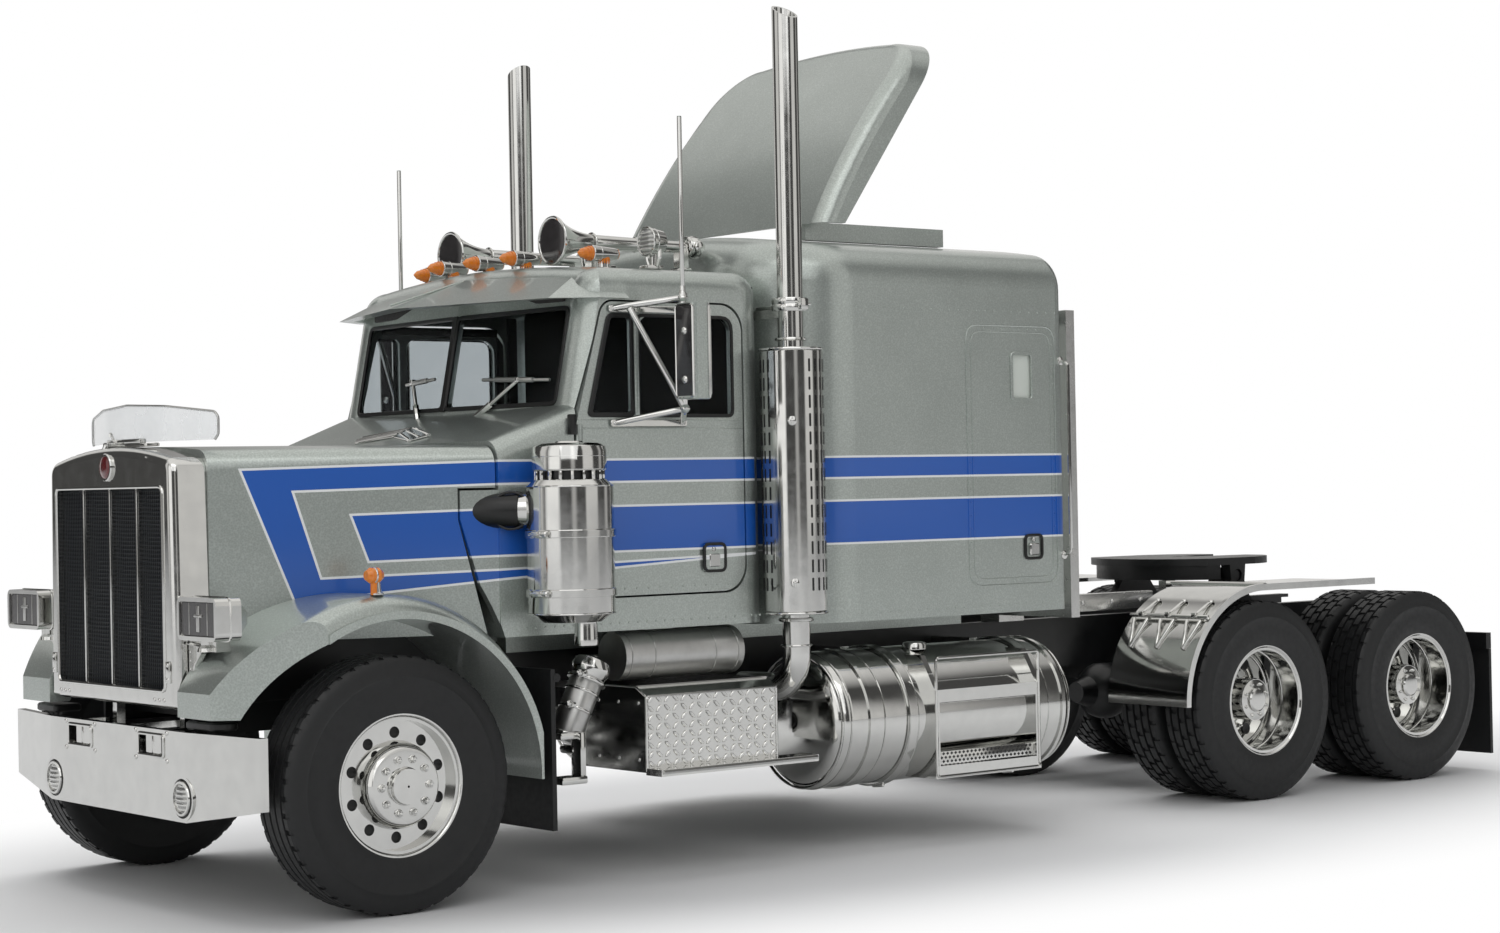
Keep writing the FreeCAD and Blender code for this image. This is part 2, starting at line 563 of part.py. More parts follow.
for side in (1, -1):
    edge = [(y * side, z) for y, z in corner]
    pocket(bumper, f"BumperEnd{side + 1}", "x", edge, end_x - D.overrun, D.bumper_x + D.overrun)
    window = [(D.tow_y - D.tow_w / 2, D.tow_low), (D.tow_y + D.tow_w / 2, D.tow_low),
              (D.tow_y + D.tow_w / 2, D.tow_high), (D.tow_y - D.tow_w / 2, D.tow_high)]
    window = [(y * side, z) for y, z in window]
    pocket(bumper, f"TowWindow{side + 1}", "x", window, end_x - D.overrun, D.bumper_x + D.overrun,
           [((D.fog_y * side, D.fog_z), D.fog_r)])
pan = turned("FogPan", "x", [(ZERO, ZERO), (ZERO, D.fog_r + D.bumper_t / 2), (D.fog_deep,
                                                                              D.fog_r + D.bumper_t / 2),
                             (D.fog_deep, D.fog_r), (D.bumper_t / 2, D.fog_r - D.bumper_t / 2),
                             (D.bumper_t / 2, ZERO)],
             (D.bumper_x - D.fog_deep, D.fog_y, D.fog_z))
hinge_pin = rod("HoodPin", "y", D.hood_pin_r, (D.hood_hinge_x, D.hood_arm_y - D.seat_gap, D.hood_hinge_z),
                D.rail_y - D.hood_arm_y)
horn_bracket = box("BumperHorn", (D.rail_front, D.bumper_x - D.bumper_t), (D.rail_y - D.rail_w, D.rail_y),
                   (D.bumper_top - D.rail_deep / 2, D.bumper_top))
node("front_bumper", fuse("Bumper", bumper, pan, mirror(pan), *pair(horn_bracket, hinge_pin)))

# Front axle: dropped beam with forks for the king pins, and two leaf springs.
axle_z = D.tyre_r
pin_top = axle_z + D.fork_gap / 2
beam_low = axle_z - D.beam_drop
seat_y = D.rail_y
beam_eye_r = D.beam_w * 0.75
under = [(seat_y + D.beam_drop, beam_low), (D.king_y - beam_eye_r, axle_z), (D.king_y, axle_z)]
left_low = [(y, z - D.beam_t / 2) for y, z in under]
left_high = [(y, z + D.beam_t / 2) for y, z in reversed(under)]
beam_line = [*left_low, *left_high, *[(-y, z) for y, z in reversed(left_high)],
             *[(-y, z) for y, z in reversed(left_low)]]
beam = pad("AxleBeam", "x", beam_line, -D.beam_w / 2, D.beam_w / 2)
eye = rod("AxleEye", "z", beam_eye_r, (ZERO, D.king_y, axle_z - D.beam_t / 2), D.beam_t)
eye_hole = rod("AxleEyeHole", "z", D.king_r + D.king_fit, (ZERO, D.king_y, axle_z - D.overrun), D.overrun * 2)
spring_low = beam_low + D.beam_t / 2
spring_mid = (D.spring_front + D.spring_rear) / 2
half_span = (D.spring_front - D.spring_rear) / 2
leaf = [(D.spring_rear, rail_low - D.spring_t), (ZERO - D.beam_w, spring_low), (ZERO + D.beam_w, spring_low),
        (D.spring_front, rail_low - D.spring_t), (D.spring_front, rail_low), (D.beam_w,
                                                                              spring_low + D.spring_t * 3),
        (-D.beam_w, spring_low + D.spring_t * 3), (D.spring_rear, rail_low)]
spring = pad("FrontLeaf", "y", leaf, D.rail_y - D.spring_w, D.rail_y)
axle = fuse("AxleWhole", beam, eye, mirror(eye))
node("front_axle", fuse("FrontAxle", cut("AxleBored", axle, eye_hole, mirror(eye_hole)), spring,
                        mirror(spring)))

# Steering knuckles: fork above and below the axle eye, king pin, spindle and steering arm.
def knuckle(name):
    low = axle_z - D.beam_t / 2 - D.seat_gap
    high = axle_z + D.beam_t / 2 + D.seat_gap
    reach = beam_eye_r + D.seat_gap
    top = box(name + "Top", (-D.beam_w / 2, D.beam_w / 2), (D.king_y - D.king_r, D.king_y + reach + D.beam_t),
              (high, high + D.beam_t / 2))
    bottom = box(name + "Bottom", (-D.beam_w / 2, D.beam_w / 2), (D.king_y - D.king_r,
                                                                  D.king_y + reach + D.beam_t),
                 (low - D.beam_t / 2, low))
    post = box(name + "Post", (-D.beam_w / 2, D.beam_w / 2), (D.king_y + reach, D.king_y + reach + D.beam_t),
               (low - D.beam_t / 2, high + D.beam_t / 2))
    pin = rod(name + "Pin", "z", D.king_r, (ZERO, D.king_y, low - D.beam_t / 2), high - low + D.beam_t)
    tip = D.front_face_y + D.hub_out - D.bore_end - D.seat_gap
    start_y = D.king_y + reach + D.beam_t / 2
    spindle = rod(name + "Spindle", "y", D.spindle_r, (ZERO, start_y, axle_z), tip - start_y)
    arm_z = low - D.beam_t / 2 - D.tie_r * 0.3
    arm = strut(name + "Arm", D.tie_r, (-D.beam_w / 4, D.king_y, arm_z),
                (-D.arm_back, D.king_y - D.arm_in, arm_z))
    return fuse(name, top, bottom, post, pin, spindle, arm)


left_knuckle = knuckle("KnuckleLeft")
node("knuckle_left", left_knuckle)
node("knuckle_right", mirror(knuckle("KnuckleRight")))
tie_z = axle_z - D.beam_t - D.seat_gap * 2 - D.tie_r * 2.3
tie_half = D.king_y - D.arm_in
tie_bar = rod("TieBar", "y", D.tie_r, (-D.arm_back, -tie_half, tie_z), tie_half * 2)
tie_eye = rod("TieEye", "z", D.tie_r * 1.6, (-D.arm_back, tie_half, tie_z - D.tie_r * 1.3), D.tie_r * 2.6)
node("tie_rod", fuse("TieRod", tie_bar, tie_eye, mirror(tie_eye)))

# Rear axles: tubes with final-drive housings, and the spring beams that carry them.
def drive_axle(name, x):
    inner = D.rear_face_y - D.rear_hub_sink - D.bore_end - D.seat_gap
    tube_end = D.rear_face_y - (D.rim_w + D.tyre_w + D.dual_gap) / 2 - D.disc_t / 2 - D.seat_gap
    tube = rod(name + "Tube", "y", D.axle_r, (x, -tube_end, axle_z), tube_end * 2)
    stub = rod(name + "Stub", "y", D.spindle_r, (x, -inner, axle_z), inner * 2)
    casing = ball(name + "Casing", D.diff_r, (x, ZERO, axle_z))
    nose = cone(name + "Nose", "x", D.diff_r * 0.8, D.axle_r, (x, ZERO, axle_z), D.diff_w)
    return fuse(name, tube, stub, casing, nose)


node("rear_axles", drive_axle("MidAxle", rear_x), drive_axle("LastAxle", last_x))
beam_z = axle_z + D.axle_r + D.seat_gap
mid_x = (rear_x + last_x) / 2
walk = [(rear_x + D.axle_r * 3, beam_z), (rear_x + D.axle_r * 3, beam_z + D.rear_beam_t / 2),
        (mid_x + D.axle_r * 2, beam_z + D.rear_beam_t), (mid_x - D.axle_r * 2, beam_z + D.rear_beam_t),
        (last_x - D.axle_r * 3, beam_z + D.rear_beam_t / 2), (last_x - D.axle_r * 3, beam_z)]
walker = pad("SpringBeam", "y", walk, D.rear_beam_y - D.rear_beam_w, D.rear_beam_y)
saddle = box("Saddle", (mid_x - D.axle_r * 1.5, mid_x + D.axle_r * 1.5),
             (D.rail_y + D.slip, D.rear_beam_y), (beam_z + D.rear_beam_t / 2, rail_low + D.rail_deep / 2))
node("rear_suspension", *pair(fuse("SpringSide", walker, saddle)))

# Engine and radiator behind the grille.
node("engine_block", box("Engine", (D.engine_rear, D.engine_front), both(None, D.engine_half),
                         (D.engine_low, D.engine_high)))
node("radiator", box("Core", (D.radiator_x - D.radiator_t, D.radiator_x), both(None, D.radiator_half),
                     (D.radiator_low, D.radiator_high)))


# Cab: a leaning body with a split windshield, joined to the cowl, hollowed, with its openings cut.
screen_half = D.cab_half - D.pillar_wide
slope = (D.screen_top_x - D.screen_low_x) / (D.screen_top_z - D.screen_low_z)


def screen_x(z):
    """Windshield plane on the middle plane, at a height."""
    return D.screen_low_x + slope * (z - D.screen_low_z)


def cab_plan(z, s):
    """Plan of the cab at a height, drawn in by s: rounded rear corners, pillars and a pointed windshield."""
    tip = screen_x(z) - s
    edge = tip - D.screen_sweep
    side = D.cab_half - s
    rear = D.cab_rear + s
    r = D.cab_corner - s
    return [(rear + r, -side), (edge - D.pillar_deep, -side, D.pillar_r), (edge, -screen_half + s),
            (tip, ZERO),
            (edge, screen_half - s, D.pillar_r), (edge - D.pillar_deep, side), (rear + r, side, r),
            (rear, side - r),
            (rear, -side + r, r)]


def cab_form(name, s):
    """The cab body with its crowned and rounded roof, drawn in by s."""
    low, top, edge = D.cab_low + s, D.roof_crown - s, D.roof_edge - s
    half = D.cab_half - s
    body = loft(name, "z", [(low, cab_plan(low, s)), (top, cab_plan(top, s))])
    above = [(-half, edge, -bow(half, top - edge)), (half, edge), (half, top + D.overrun),
             (-half, top + D.overrun)]
    pocket(body, name + "Crown", "x", above, D.cab_rear - D.overrun, D.cowl_x)
    near = float(edge - D.pick_gap)
    return soften(body, name + "Roof", D.roof_round - s, lambda e: e.BoundBox.ZMin > near)


def cowl_form(name, s):
    """The cowl between hood and windshield, with rounded upper edges, drawn in by s."""
    back = D.door_front - D.overrun * 2
    rise = (D.screen_low_z - D.cowl_top) / (D.cowl_x - D.screen_low_x)
    top = D.screen_low_z + rise * D.overrun
    line = [(back, D.cab_low + s), (D.cowl_x - s, D.cab_low + s), (D.cowl_x - s, D.cowl_top - s),
            (D.screen_low_x - D.overrun, top - s), (back, top - s)]
    body = pad(name, "y", line, -D.cab_half + s, D.cab_half - s)
    front, high = float(D.screen_low_x), float(D.cowl_top - s - D.pick_gap)
    return soften(body, name + "Edges", D.cowl_round - s,
                  lambda e: not along(e, "y") and e.BoundBox.ZMin > high
                  and e.BoundBox.XMax > front and e.BoundBox.XMin < front)


cab_outer = fuse("CabOuter", cab_form("CabBody", ZERO), cut("Cowl", cowl_form("CowlForm", ZERO), box(
    "CowlTop", (D.cab_rear, D.screen_low_x - D.overrun), both(None, D.cab_half + D.overrun),
    (D.screen_low_z, D.roof_crown))))
cab_inner = fuse("CabInner", cab_form("CabRoom", D.cab_wall), cowl_form("CowlRoom", D.cab_wall))


def door_outline(gap):
    """Door edge seen from the side; a positive gap draws it in."""
    g, r = gap, D.door_corner
    return [(D.door_front - g, D.door_low + g), (D.door_front - g, D.door_belt),
            (D.door_front - D.door_lean - g, D.door_high - g), (D.door_rear + g + r, D.door_high - g, r),
            (D.door_rear + g, D.door_high - g - r), (D.door_rear + g, D.door_low + g + r, r),
            (D.door_rear + g + r, D.door_low + g)]


def upper_front(e):
    """True for the door's upper front corner."""
    low, rear = float(D.door_belt + D.pick_gap), float(D.door_front - D.door_lean - D.door_gap - D.pick_gap)
    return e.BoundBox.ZMin > low and e.BoundBox.XMin > rear


doorway = prism("Doorway", "y", door_outline(ZERO), -D.cab_half - D.overrun, D.cab_half + D.overrun,
                D.door_front_corner, upper_front)
pane_low = D.screen_low_z + D.screen_edge
pane_high = D.screen_top_z - D.screen_edge


def pane_line(f):
    """One half of the windshield opening seen from ahead, drawn in by f."""
    return [(D.screen_edge / 2 + f, pane_low + f), (screen_half - f, pane_low + f), (screen_half - f,
                                                                                     pane_high - f),
            (D.screen_edge / 2 + f, pane_high - f)]


screen_hole = prism("ScreenHole", "x", pane_line(ZERO), D.screen_top_x - D.overrun * 2,
                    D.screen_low_x + D.overrun,
                    D.screen_round)
cab = cut("CabShell", cab_outer, cab_inner, doorway, screen_hole, mirror(screen_hole))
sill = box("CabSill", (D.cab_rear + D.cab_corner, D.door_front), (D.rail_y - D.rail_w, D.rail_y),
           (D.rail_top + D.slip, D.cab_low + D.slip))

# Cowl cheeks: the cowl's sides run on ahead into the notches of the hood, in line with the hood's flanks.
flank_taper = (D.cab_half - D.hood_inset - D.hood_front_half) / (D.hood_front - D.cowl_x - D.hood_gap)


def flank_y(x):
    """How far out the hood's flank lies at a place along it."""
    return D.hood_front_half + flank_taper * (D.hood_front - x)


cheek_rear, cheek_front = D.cowl_x - D.cab_wall / 4, D.hood_cut_x - D.hood_gap
cheek_high = D.hood_ledge - D.hood_gap
cheek_plan = [(cheek_rear, flank_y(cheek_rear) - D.cab_wall),
              (cheek_front, flank_y(cheek_front) - D.cab_wall),
              (cheek_front, flank_y(cheek_front)), (cheek_rear, flank_y(cheek_rear))]
cheek_line = [(cheek_rear, D.cab_low), (D.hood_cut_low_x - D.hood_gap, D.cab_low),
              (cheek_front, D.hood_cut_z), (cheek_front, cheek_high), (cheek_rear, cheek_high)]
cheek = common("CowlCheek", pad("CheekPlan", "z", cheek_plan, D.cab_low, cheek_high),
               pad("CheekSide", "y", cheek_line, D.hood_front_half, D.cab_half + D.overrun))

# The lower front edge is cleared by the arc that the fender ends sweep when the hood tilts.
reach_x, reach_z = D.hood_hinge_x - D.fender_rear_x, D.hood_hinge_z - D.fender_end_z
sweep = rod("FenderSweep", "y", root(reach_x * reach_x + reach_z * reach_z) + D.hood_gap,
            (D.hood_hinge_x, -D.cab_half - D.overrun, D.hood_hinge_z), (D.cab_half + D.overrun) * 2)
node("cab_shell", cut("CabCleared", fuse("CabOnSills", cab, *pair(sill, cheek)), sweep))


def pane_plan(z):
    """Plan of one glass pane at a height, inside the windshield plane."""
    front = screen_x(z) - (D.cab_wall - D.glass_t) / 2
    return [(front, ZERO), (front - D.screen_sweep, screen_half), (front - D.screen_sweep - D.glass_t,
                                                                   screen_half),
            (front - D.glass_t, ZERO)]


glass_block = prism("GlassBlock", "x", pane_line(D.glass_fit), D.screen_top_x - D.overrun * 2,
                    D.screen_low_x + D.overrun, D.screen_round - D.glass_fit)
glass_sheet = loft("GlassSheet", "z", [(D.screen_low_z, pane_plan(D.screen_low_z)),
                                       (D.screen_top_z, pane_plan(D.screen_top_z))])
node("windshield", *pair(common("Pane", glass_block, glass_sheet)))

# Visor over the windshield: a pointed sloping brim that wraps round to the doors.
def brim(name, s, drop):
    """The brim's form, drawn in by s and lowered by drop."""
    side = D.cab_half + D.visor_out - s
    end, wrap = D.visor_end_x - s * 2, D.visor_wrap_x - s
    corner_y = D.cab_half - D.visor_side_in - s
    low = [(end, -side), (wrap, -side), (D.visor_side_x - s, -corner_y), (D.visor_tip_x - s * 2.5, ZERO),
           (D.visor_side_x - s, corner_y), (wrap, side), (end, side)]
    upper, shoulder = D.cab_half - D.visor_end_in - s, D.cab_half - D.visor_top_in - s
    top_x = D.visor_top_x - s
    high = [(end, -upper), (wrap - D.visor_top_back, -upper), (top_x - D.visor_top_back, -shoulder),
            (top_x, ZERO),
            (top_x - D.visor_top_back, shoulder), (wrap - D.visor_top_back, upper), (end, upper)]
    return loft(name, "z", [(D.visor_low - drop, low), (D.visor_high - drop, high)])


node("sun_visor", cut("Visor", brim("BrimOuter", ZERO, ZERO), brim("BrimInner", D.visor_t, D.visor_t),
                      cab_outer))

# Cab inside: floor pad with two seats, dash and steering wheel.
floor_z = D.cab_low + D.cab_wall
seat_parts = []
base = box("SeatBase", (D.seat_x - D.seat_deep / 2, D.seat_x + D.seat_deep / 2),
           (D.seat_y - D.seat_half, D.seat_y + D.seat_half), (floor_z + D.slip, D.seat_z))
back = box("SeatBack", (D.seat_x - D.seat_deep / 2, D.seat_x - D.seat_deep / 2 + D.seat_t),
           (D.seat_y - D.seat_half, D.seat_y + D.seat_half), (D.seat_z - D.slip, D.seat_back_top))
node("seats", *pair(fuse("Seat", base, back)))
dash_rear = D.screen_low_x - D.cab_wall - D.slip
inside = D.cab_half - D.dash_side
dash = box("Dash", (dash_rear - D.dash_deep, dash_rear + D.overrun), (-inside, inside), (D.dash_low,
                                                                                         D.dash_high))
column = strut("Column", D.tie_r * 2, (dash_rear - D.dash_deep / 2, D.seat_y, D.dash_low + D.seat_t),
               (dash_rear - D.dash_deep * 1.4, D.seat_y, D.dash_high - D.seat_t / 2))
hoop = doc.addObject("Part::Torus", "SteeringHoop")
bind(hoop, "Radius1", D.steer_wheel_r)
bind(hoop, "Radius2", D.tie_r)
hoop.Placement = FreeCAD.Placement(V(), FreeCAD.Rotation(V(0, 1, 0), -60))
place(hoop, dash_rear - D.dash_deep * 1.4, D.seat_y, D.dash_high - D.seat_t / 2)
spoke = rod("WheelSpoke", "y", D.tie_r, (dash_rear - D.dash_deep * 1.4, D.seat_y - D.steer_wheel_r,
                                         D.dash_high - D.seat_t / 2), D.steer_wheel_r * 2)
node("dashboard", fuse("DashAndWheel", dash, column, hoop, spoke))


# Doors: panel with two window openings, hinge barrels, handle, mirror on struts and aerial.
def windows(name, f, low_y, high_y):
    """The two window openings of a door, or their panes, drawn in by f."""
    low, high = D.win_low + f, D.win_high - f
    near = float(low + D.pick_gap)
    main = [(D.win_rear + f, low), (D.win_front - f, low), (D.win_front - f, high), (D.win_rear + f, high)]
    vent = [(D.vent_rear + f, low), (D.vent_front - f, low), (D.vent_front - D.vent_lean - f, high),
            (D.vent_rear + f, high)]
    return [prism(name + "Main", "y", main, low_y, high_y, D.win_rear_round - f,
                  lambda e: e.BoundBox.ZMin > near),
            prism(name + "Vent", "y", vent, low_y, high_y, D.win_round - f)]


hinge_x = D.door_front - D.door_gap - D.hinge_r
mirror_y = D.cab_half + D.mirror_out


def door(name):
    panel = prism(name + "Panel", "y", door_outline(D.door_gap), D.cab_half - D.cab_wall, D.cab_half,
                  D.door_front_corner - D.door_gap, upper_front)
    holes = windows(name + "Hole", ZERO, D.cab_half - D.overrun, D.cab_half + D.overrun)
    open_panel = cut(name + "Open", panel, *holes)
    barrels = [rod(name + f"Hinge{i}", "z", D.hinge_r, (hinge_x, D.cab_half, z), D.hinge_long)
               for i, z in enumerate((D.hinge_bottom, D.hinge_top - D.hinge_long))]
    grip = box(name + "Grip", (D.handle_rear, D.handle_front), (D.cab_half - D.slip, D.cab_half + D.handle_t),
               (D.handle_low, D.handle_high))
    head = prism(name + "Mirror", "z", [(D.mirror_x - D.mirror_t / 2, mirror_y - D.mirror_half),
                                        (D.mirror_x + D.mirror_t / 2, mirror_y - D.mirror_half),
                                        (D.mirror_x + D.mirror_t / 2, mirror_y + D.mirror_half),
                                        (D.mirror_x - D.mirror_t / 2, mirror_y + D.mirror_half)],
                 D.mirror_low, D.mirror_high, D.mirror_round)
    skin = D.cab_half + D.mirror_pad_t / 2
    joint_y = mirror_y - D.mirror_half
    parts = []
    for i, (z, joint) in enumerate(((D.mirror_arm_low, D.mirror_joint_low), (D.mirror_arm_high,
                                                                             D.mirror_joint_high))):
        parts.append(box(name + f"Foot{i}", (D.mirror_arm_rear, D.mirror_arm_x),
                         (D.cab_half - D.slip, D.cab_half + D.mirror_pad_t),
                         (z - D.mirror_pad_t, z + D.mirror_pad_t)))
        for k, x in enumerate((D.mirror_arm_x - D.mirror_arm_r, D.mirror_arm_rear + D.mirror_arm_r)):
            parts.append(strut(name + f"Arm{i}{k}", D.mirror_arm_r, (x, skin, z), (D.mirror_x, joint_y,
                                                                                   joint)))
        parts.append(ball(name + f"Joint{i}", D.mirror_arm_r * 1.8, (D.mirror_x, joint_y, joint)))
    parts.append(strut(name + "Brace", D.mirror_arm_r, (D.mirror_x + D.mirror_half * 3,
                                                        D.cab_half + D.mirror_half,
                                                       D.mirror_arm_high), (D.mirror_x, joint_y,
                                                                            D.mirror_joint_low)))
    parts.append(rod(name + "Stem", "z", D.mirror_arm_r, (D.mirror_x, joint_y, D.mirror_joint_low),
                     D.mirror_joint_high - D.mirror_joint_low))
    parts.append(rod(name + "Aerial", "z", D.aerial_r, (D.mirror_x, joint_y, D.mirror_joint_high),
                     D.aerial_top - D.mirror_joint_high))
    return fuse(name, open_panel, *barrels, grip, head, *parts)


mid_y = D.cab_half - D.cab_wall / 2
panes = [windows(f"Glass{side}", D.glass_fit, mid_y - D.glass_t / 2, mid_y + D.glass_t / 2)
         for side in ("Left", "Right")]
node("door_left", door("DoorLeft"))
node("door_right", mirror(door("DoorRight")))
node("door_glass_left", *panes[0])
node("door_glass_right", *[mirror(piece) for piece in panes[1]])


# Sleeper: a box with large front corners and a small window each side, under a crowned roof cap.
def sleeper_plan(s, sharp=False):
    """Plan of the sleeper, drawn in by s. The rear corners are square where sharp."""
    half, front, rear = D.sleeper_half - s, D.sleeper_front - s, D.sleeper_rear + s
    r = D.sleeper_front_corner - s
    q = D.sleeper_rear_corner - s
    left = [(rear, half)] if sharp else [(rear + q, half, q), (rear, half - q)]
    right = [(rear, -half)] if sharp else [(rear, -half + q, q), (rear + q, -half)]
    return [*right, (front - r, -half, r), (front, -half + r), (front, half - r, r), (front - r, half), *left]


port = [(D.port_rear, D.port_low), (D.port_front, D.port_low), (D.port_front, D.port_high), (D.port_rear,
                                                                                             D.port_high)]
port_hole = prism("PortHole", "y", port, -D.sleeper_half - D.overrun, D.sleeper_half + D.overrun,
                  D.port_round)
walls = pad("SleeperOuter", "z", sleeper_plan(ZERO), D.sleeper_low, D.sleeper_seam)
room = pad("SleeperRoom", "z", sleeper_plan(D.sleeper_wall), D.sleeper_low + D.sleeper_wall,
           D.sleeper_seam + D.overrun)
sill = box("SleeperSill", (D.sleeper_rear + D.cab_corner, D.sleeper_front - D.cab_corner),
           (D.rail_y - D.rail_w, D.rail_y), (D.rail_top + D.slip, D.sleeper_low + D.slip))
node("sleeper_shell", fuse("SleeperOnSills", cut("SleeperShell", walls, room, port_hole), sill, mirror(sill)))
cap = pad("SleeperCap", "z", sleeper_plan(ZERO, True), D.sleeper_seam, D.sleeper_top)
half = D.sleeper_half
above = [(-half, D.sleeper_edge, -bow(half, D.sleeper_top - D.sleeper_edge)), (half, D.sleeper_edge),
         (half, D.sleeper_top + D.overrun), (-half, D.sleeper_top + D.overrun)]
pocket(cap, "SleeperCrown", "x", above, D.sleeper_rear - D.overrun, D.sleeper_front + D.overrun)
tail = float(D.sleeper_rear + D.pick_gap)
cap_edge, cap_foot = float(D.sleeper_edge - D.pick_gap), float(D.sleeper_seam + D.pick_gap)
soften(cap, "SleeperTop", D.sleeper_round, lambda e: e.BoundBox.ZMin > cap_edge and e.BoundBox.XMax > tail)
soften(cap, "SleeperTail", D.sleeper_rear_corner,
       lambda e: e.BoundBox.XMax < tail and e.BoundBox.ZMax > cap_foot)
node("sleeper_roof", cap)
f = D.glass_fit
port_mid = D.sleeper_half - D.sleeper_wall / 2
node("sleeper_glass", *pair(prism("PortPane", "y", [
    (D.port_rear + f, D.port_low + f), (D.port_front - f, D.port_low + f), (D.port_front - f,
                                                                            D.port_high - f),
    (D.port_rear + f, D.port_high - f)], port_mid - D.glass_t / 2, port_mid + D.glass_t / 2,
    D.port_round - f)))

# Roof fairing: a leaning bowed panel with rounded top corners and rolled edges, on two rails with props.
fairing_low = D.sleeper_top + D.fairing_gap
fairing_top = fairing_low + D.fairing_rise
lean = (D.fairing_top_x - D.fairing_low_x) / D.fairing_rise


def fairing_line(z, back):
    """A point of the leaning plane of the panel, moved back."""
    return (D.fairing_low_x + lean * (z - fairing_low) - back, z)


def fairing_form(name, s):
    """The leaning block behind the panel's bowed face, drawn in by s."""
    low, high = fairing_low - s * 2, fairing_top - s
    corner = high - D.fairing_corner_drop
    wide, arc = D.fairing_corner_half - s, D.fairing_corner_r
    face = [(-D.fairing_low_half + s, low), (D.fairing_low_half - s, low), (wide, corner, arc),
            (D.fairing_top_half, high, D.fairing_crown_r), (-D.fairing_top_half, high, arc), (-wide, corner)]
    deep = D.fairing_deep
    body = pad(name, "x", face, D.fairing_top_x - deep * 4, D.fairing_low_x + deep * 2)
    under, over = fairing_low - D.overrun, fairing_top + D.overrun
    ahead = [(*fairing_line(under, s), D.fairing_bow_r), fairing_line(over, s), (D.fairing_low_x + deep * 4,
                                                                                 over),
             (D.fairing_low_x + deep * 4, under)]
    pocket(body, name + "Face", "y", ahead, -D.sleeper_half, D.sleeper_half)
    behind = [fairing_line(under, deep + s), (D.fairing_top_x - deep * 6, under),
              (D.fairing_top_x - deep * 6, over),
              fairing_line(over, deep + s)]
    return pocket(body, name + "Back", "y", behind, -D.sleeper_half, D.sleeper_half)


def fairing_rim(e):
    """True for the edges round the panel's face."""
    c = e.BoundBox.Center
    share = (c.z - float(fairing_low)) / float(D.fairing_rise)
    face_x = float(D.fairing_low_x) + float(D.fairing_top_x - D.fairing_low_x) * share
    return share > rim_share and c.x > face_x - float(D.fairing_deep) / 2 and not along(e, "x")


panel = soften(fairing_form("FairingOuter", ZERO), "FairingEdge", D.fairing_round, fairing_rim)
rail_share = (D.fairing_rail_y - D.fairing_rail_t) / D.sleeper_half
rail_low_z = D.sleeper_top - (D.sleeper_top - D.sleeper_edge) * rail_share * rail_share + D.slip
rail_z = D.sleeper_top + D.fairing_gap + D.fairing_rail_t / 2
roof_rail = box("RoofRail", (D.fairing_rail_rear, D.fairing_low_x),
                (D.fairing_rail_y - D.fairing_rail_t, D.fairing_rail_y + D.fairing_rail_t), (rail_low_z,
                                                                                             rail_z + D.slip))
stay_y = D.fairing_rail_y
stay = pad("FairingStay", "y", [(D.stay_front, rail_z - D.stay_w), (D.stay_rear,
                                                                    rail_z + D.stay_rise - D.stay_w),
                                (D.stay_rear, rail_z + D.stay_rise), (D.stay_front - D.stay_w,
                                                                      rail_z + D.stay_rise),
                                (D.stay_front, rail_z)], stay_y - D.fairing_rail_t / 2,
                                stay_y + D.fairing_rail_t / 2)
hollow = cut("FairingPanel", panel, fairing_form("FairingInner", D.fairing_t))
node("roof_fairing", fuse("FairingSet", hollow, *pair(roof_rail, stay)))

# Cab roof fittings: two trumpet horns, five bullet lamps and a spotlight, their feet cut to the roof.
horn_z = D.roof_crown + D.horn_rise
horn_long = D.horn_x - D.horn_rear_x
flare_at = horn_long - D.horn_flare
bell = turned("HornBell", "x", [(ZERO, ZERO), (horn_long - D.horn_mouth_r, ZERO), (horn_long,
                                                                                   D.horn_mouth_r * 0.9),
                                (horn_long, D.horn_mouth_r, -D.horn_flare_r), (flare_at,
                                                                               D.horn_throat_r * 1.5),
                                (ZERO, D.horn_throat_r)], (D.horn_rear_x, D.horn_y, horn_z))
driver = ball("HornDriver", D.horn_ball_r, (D.horn_rear_x, D.horn_y, horn_z))
feet = [box(f"HornFoot{i}", (x, x + D.horn_foot_w), (D.horn_y - D.horn_foot_w / 2,
                                                     D.horn_y + D.horn_foot_w / 2),
            (D.roof_edge, horn_z)) for i, x in enumerate((D.horn_rear_x + D.horn_ball_r,
                                                          D.horn_x - D.horn_flare))]
node("air_horns", cut("Horns", fuse("HornSet", *pair(fuse("Horn", bell, driver, *feet))), cab_outer))
lamps = []
beacon_z = D.roof_crown + D.beacon_foot
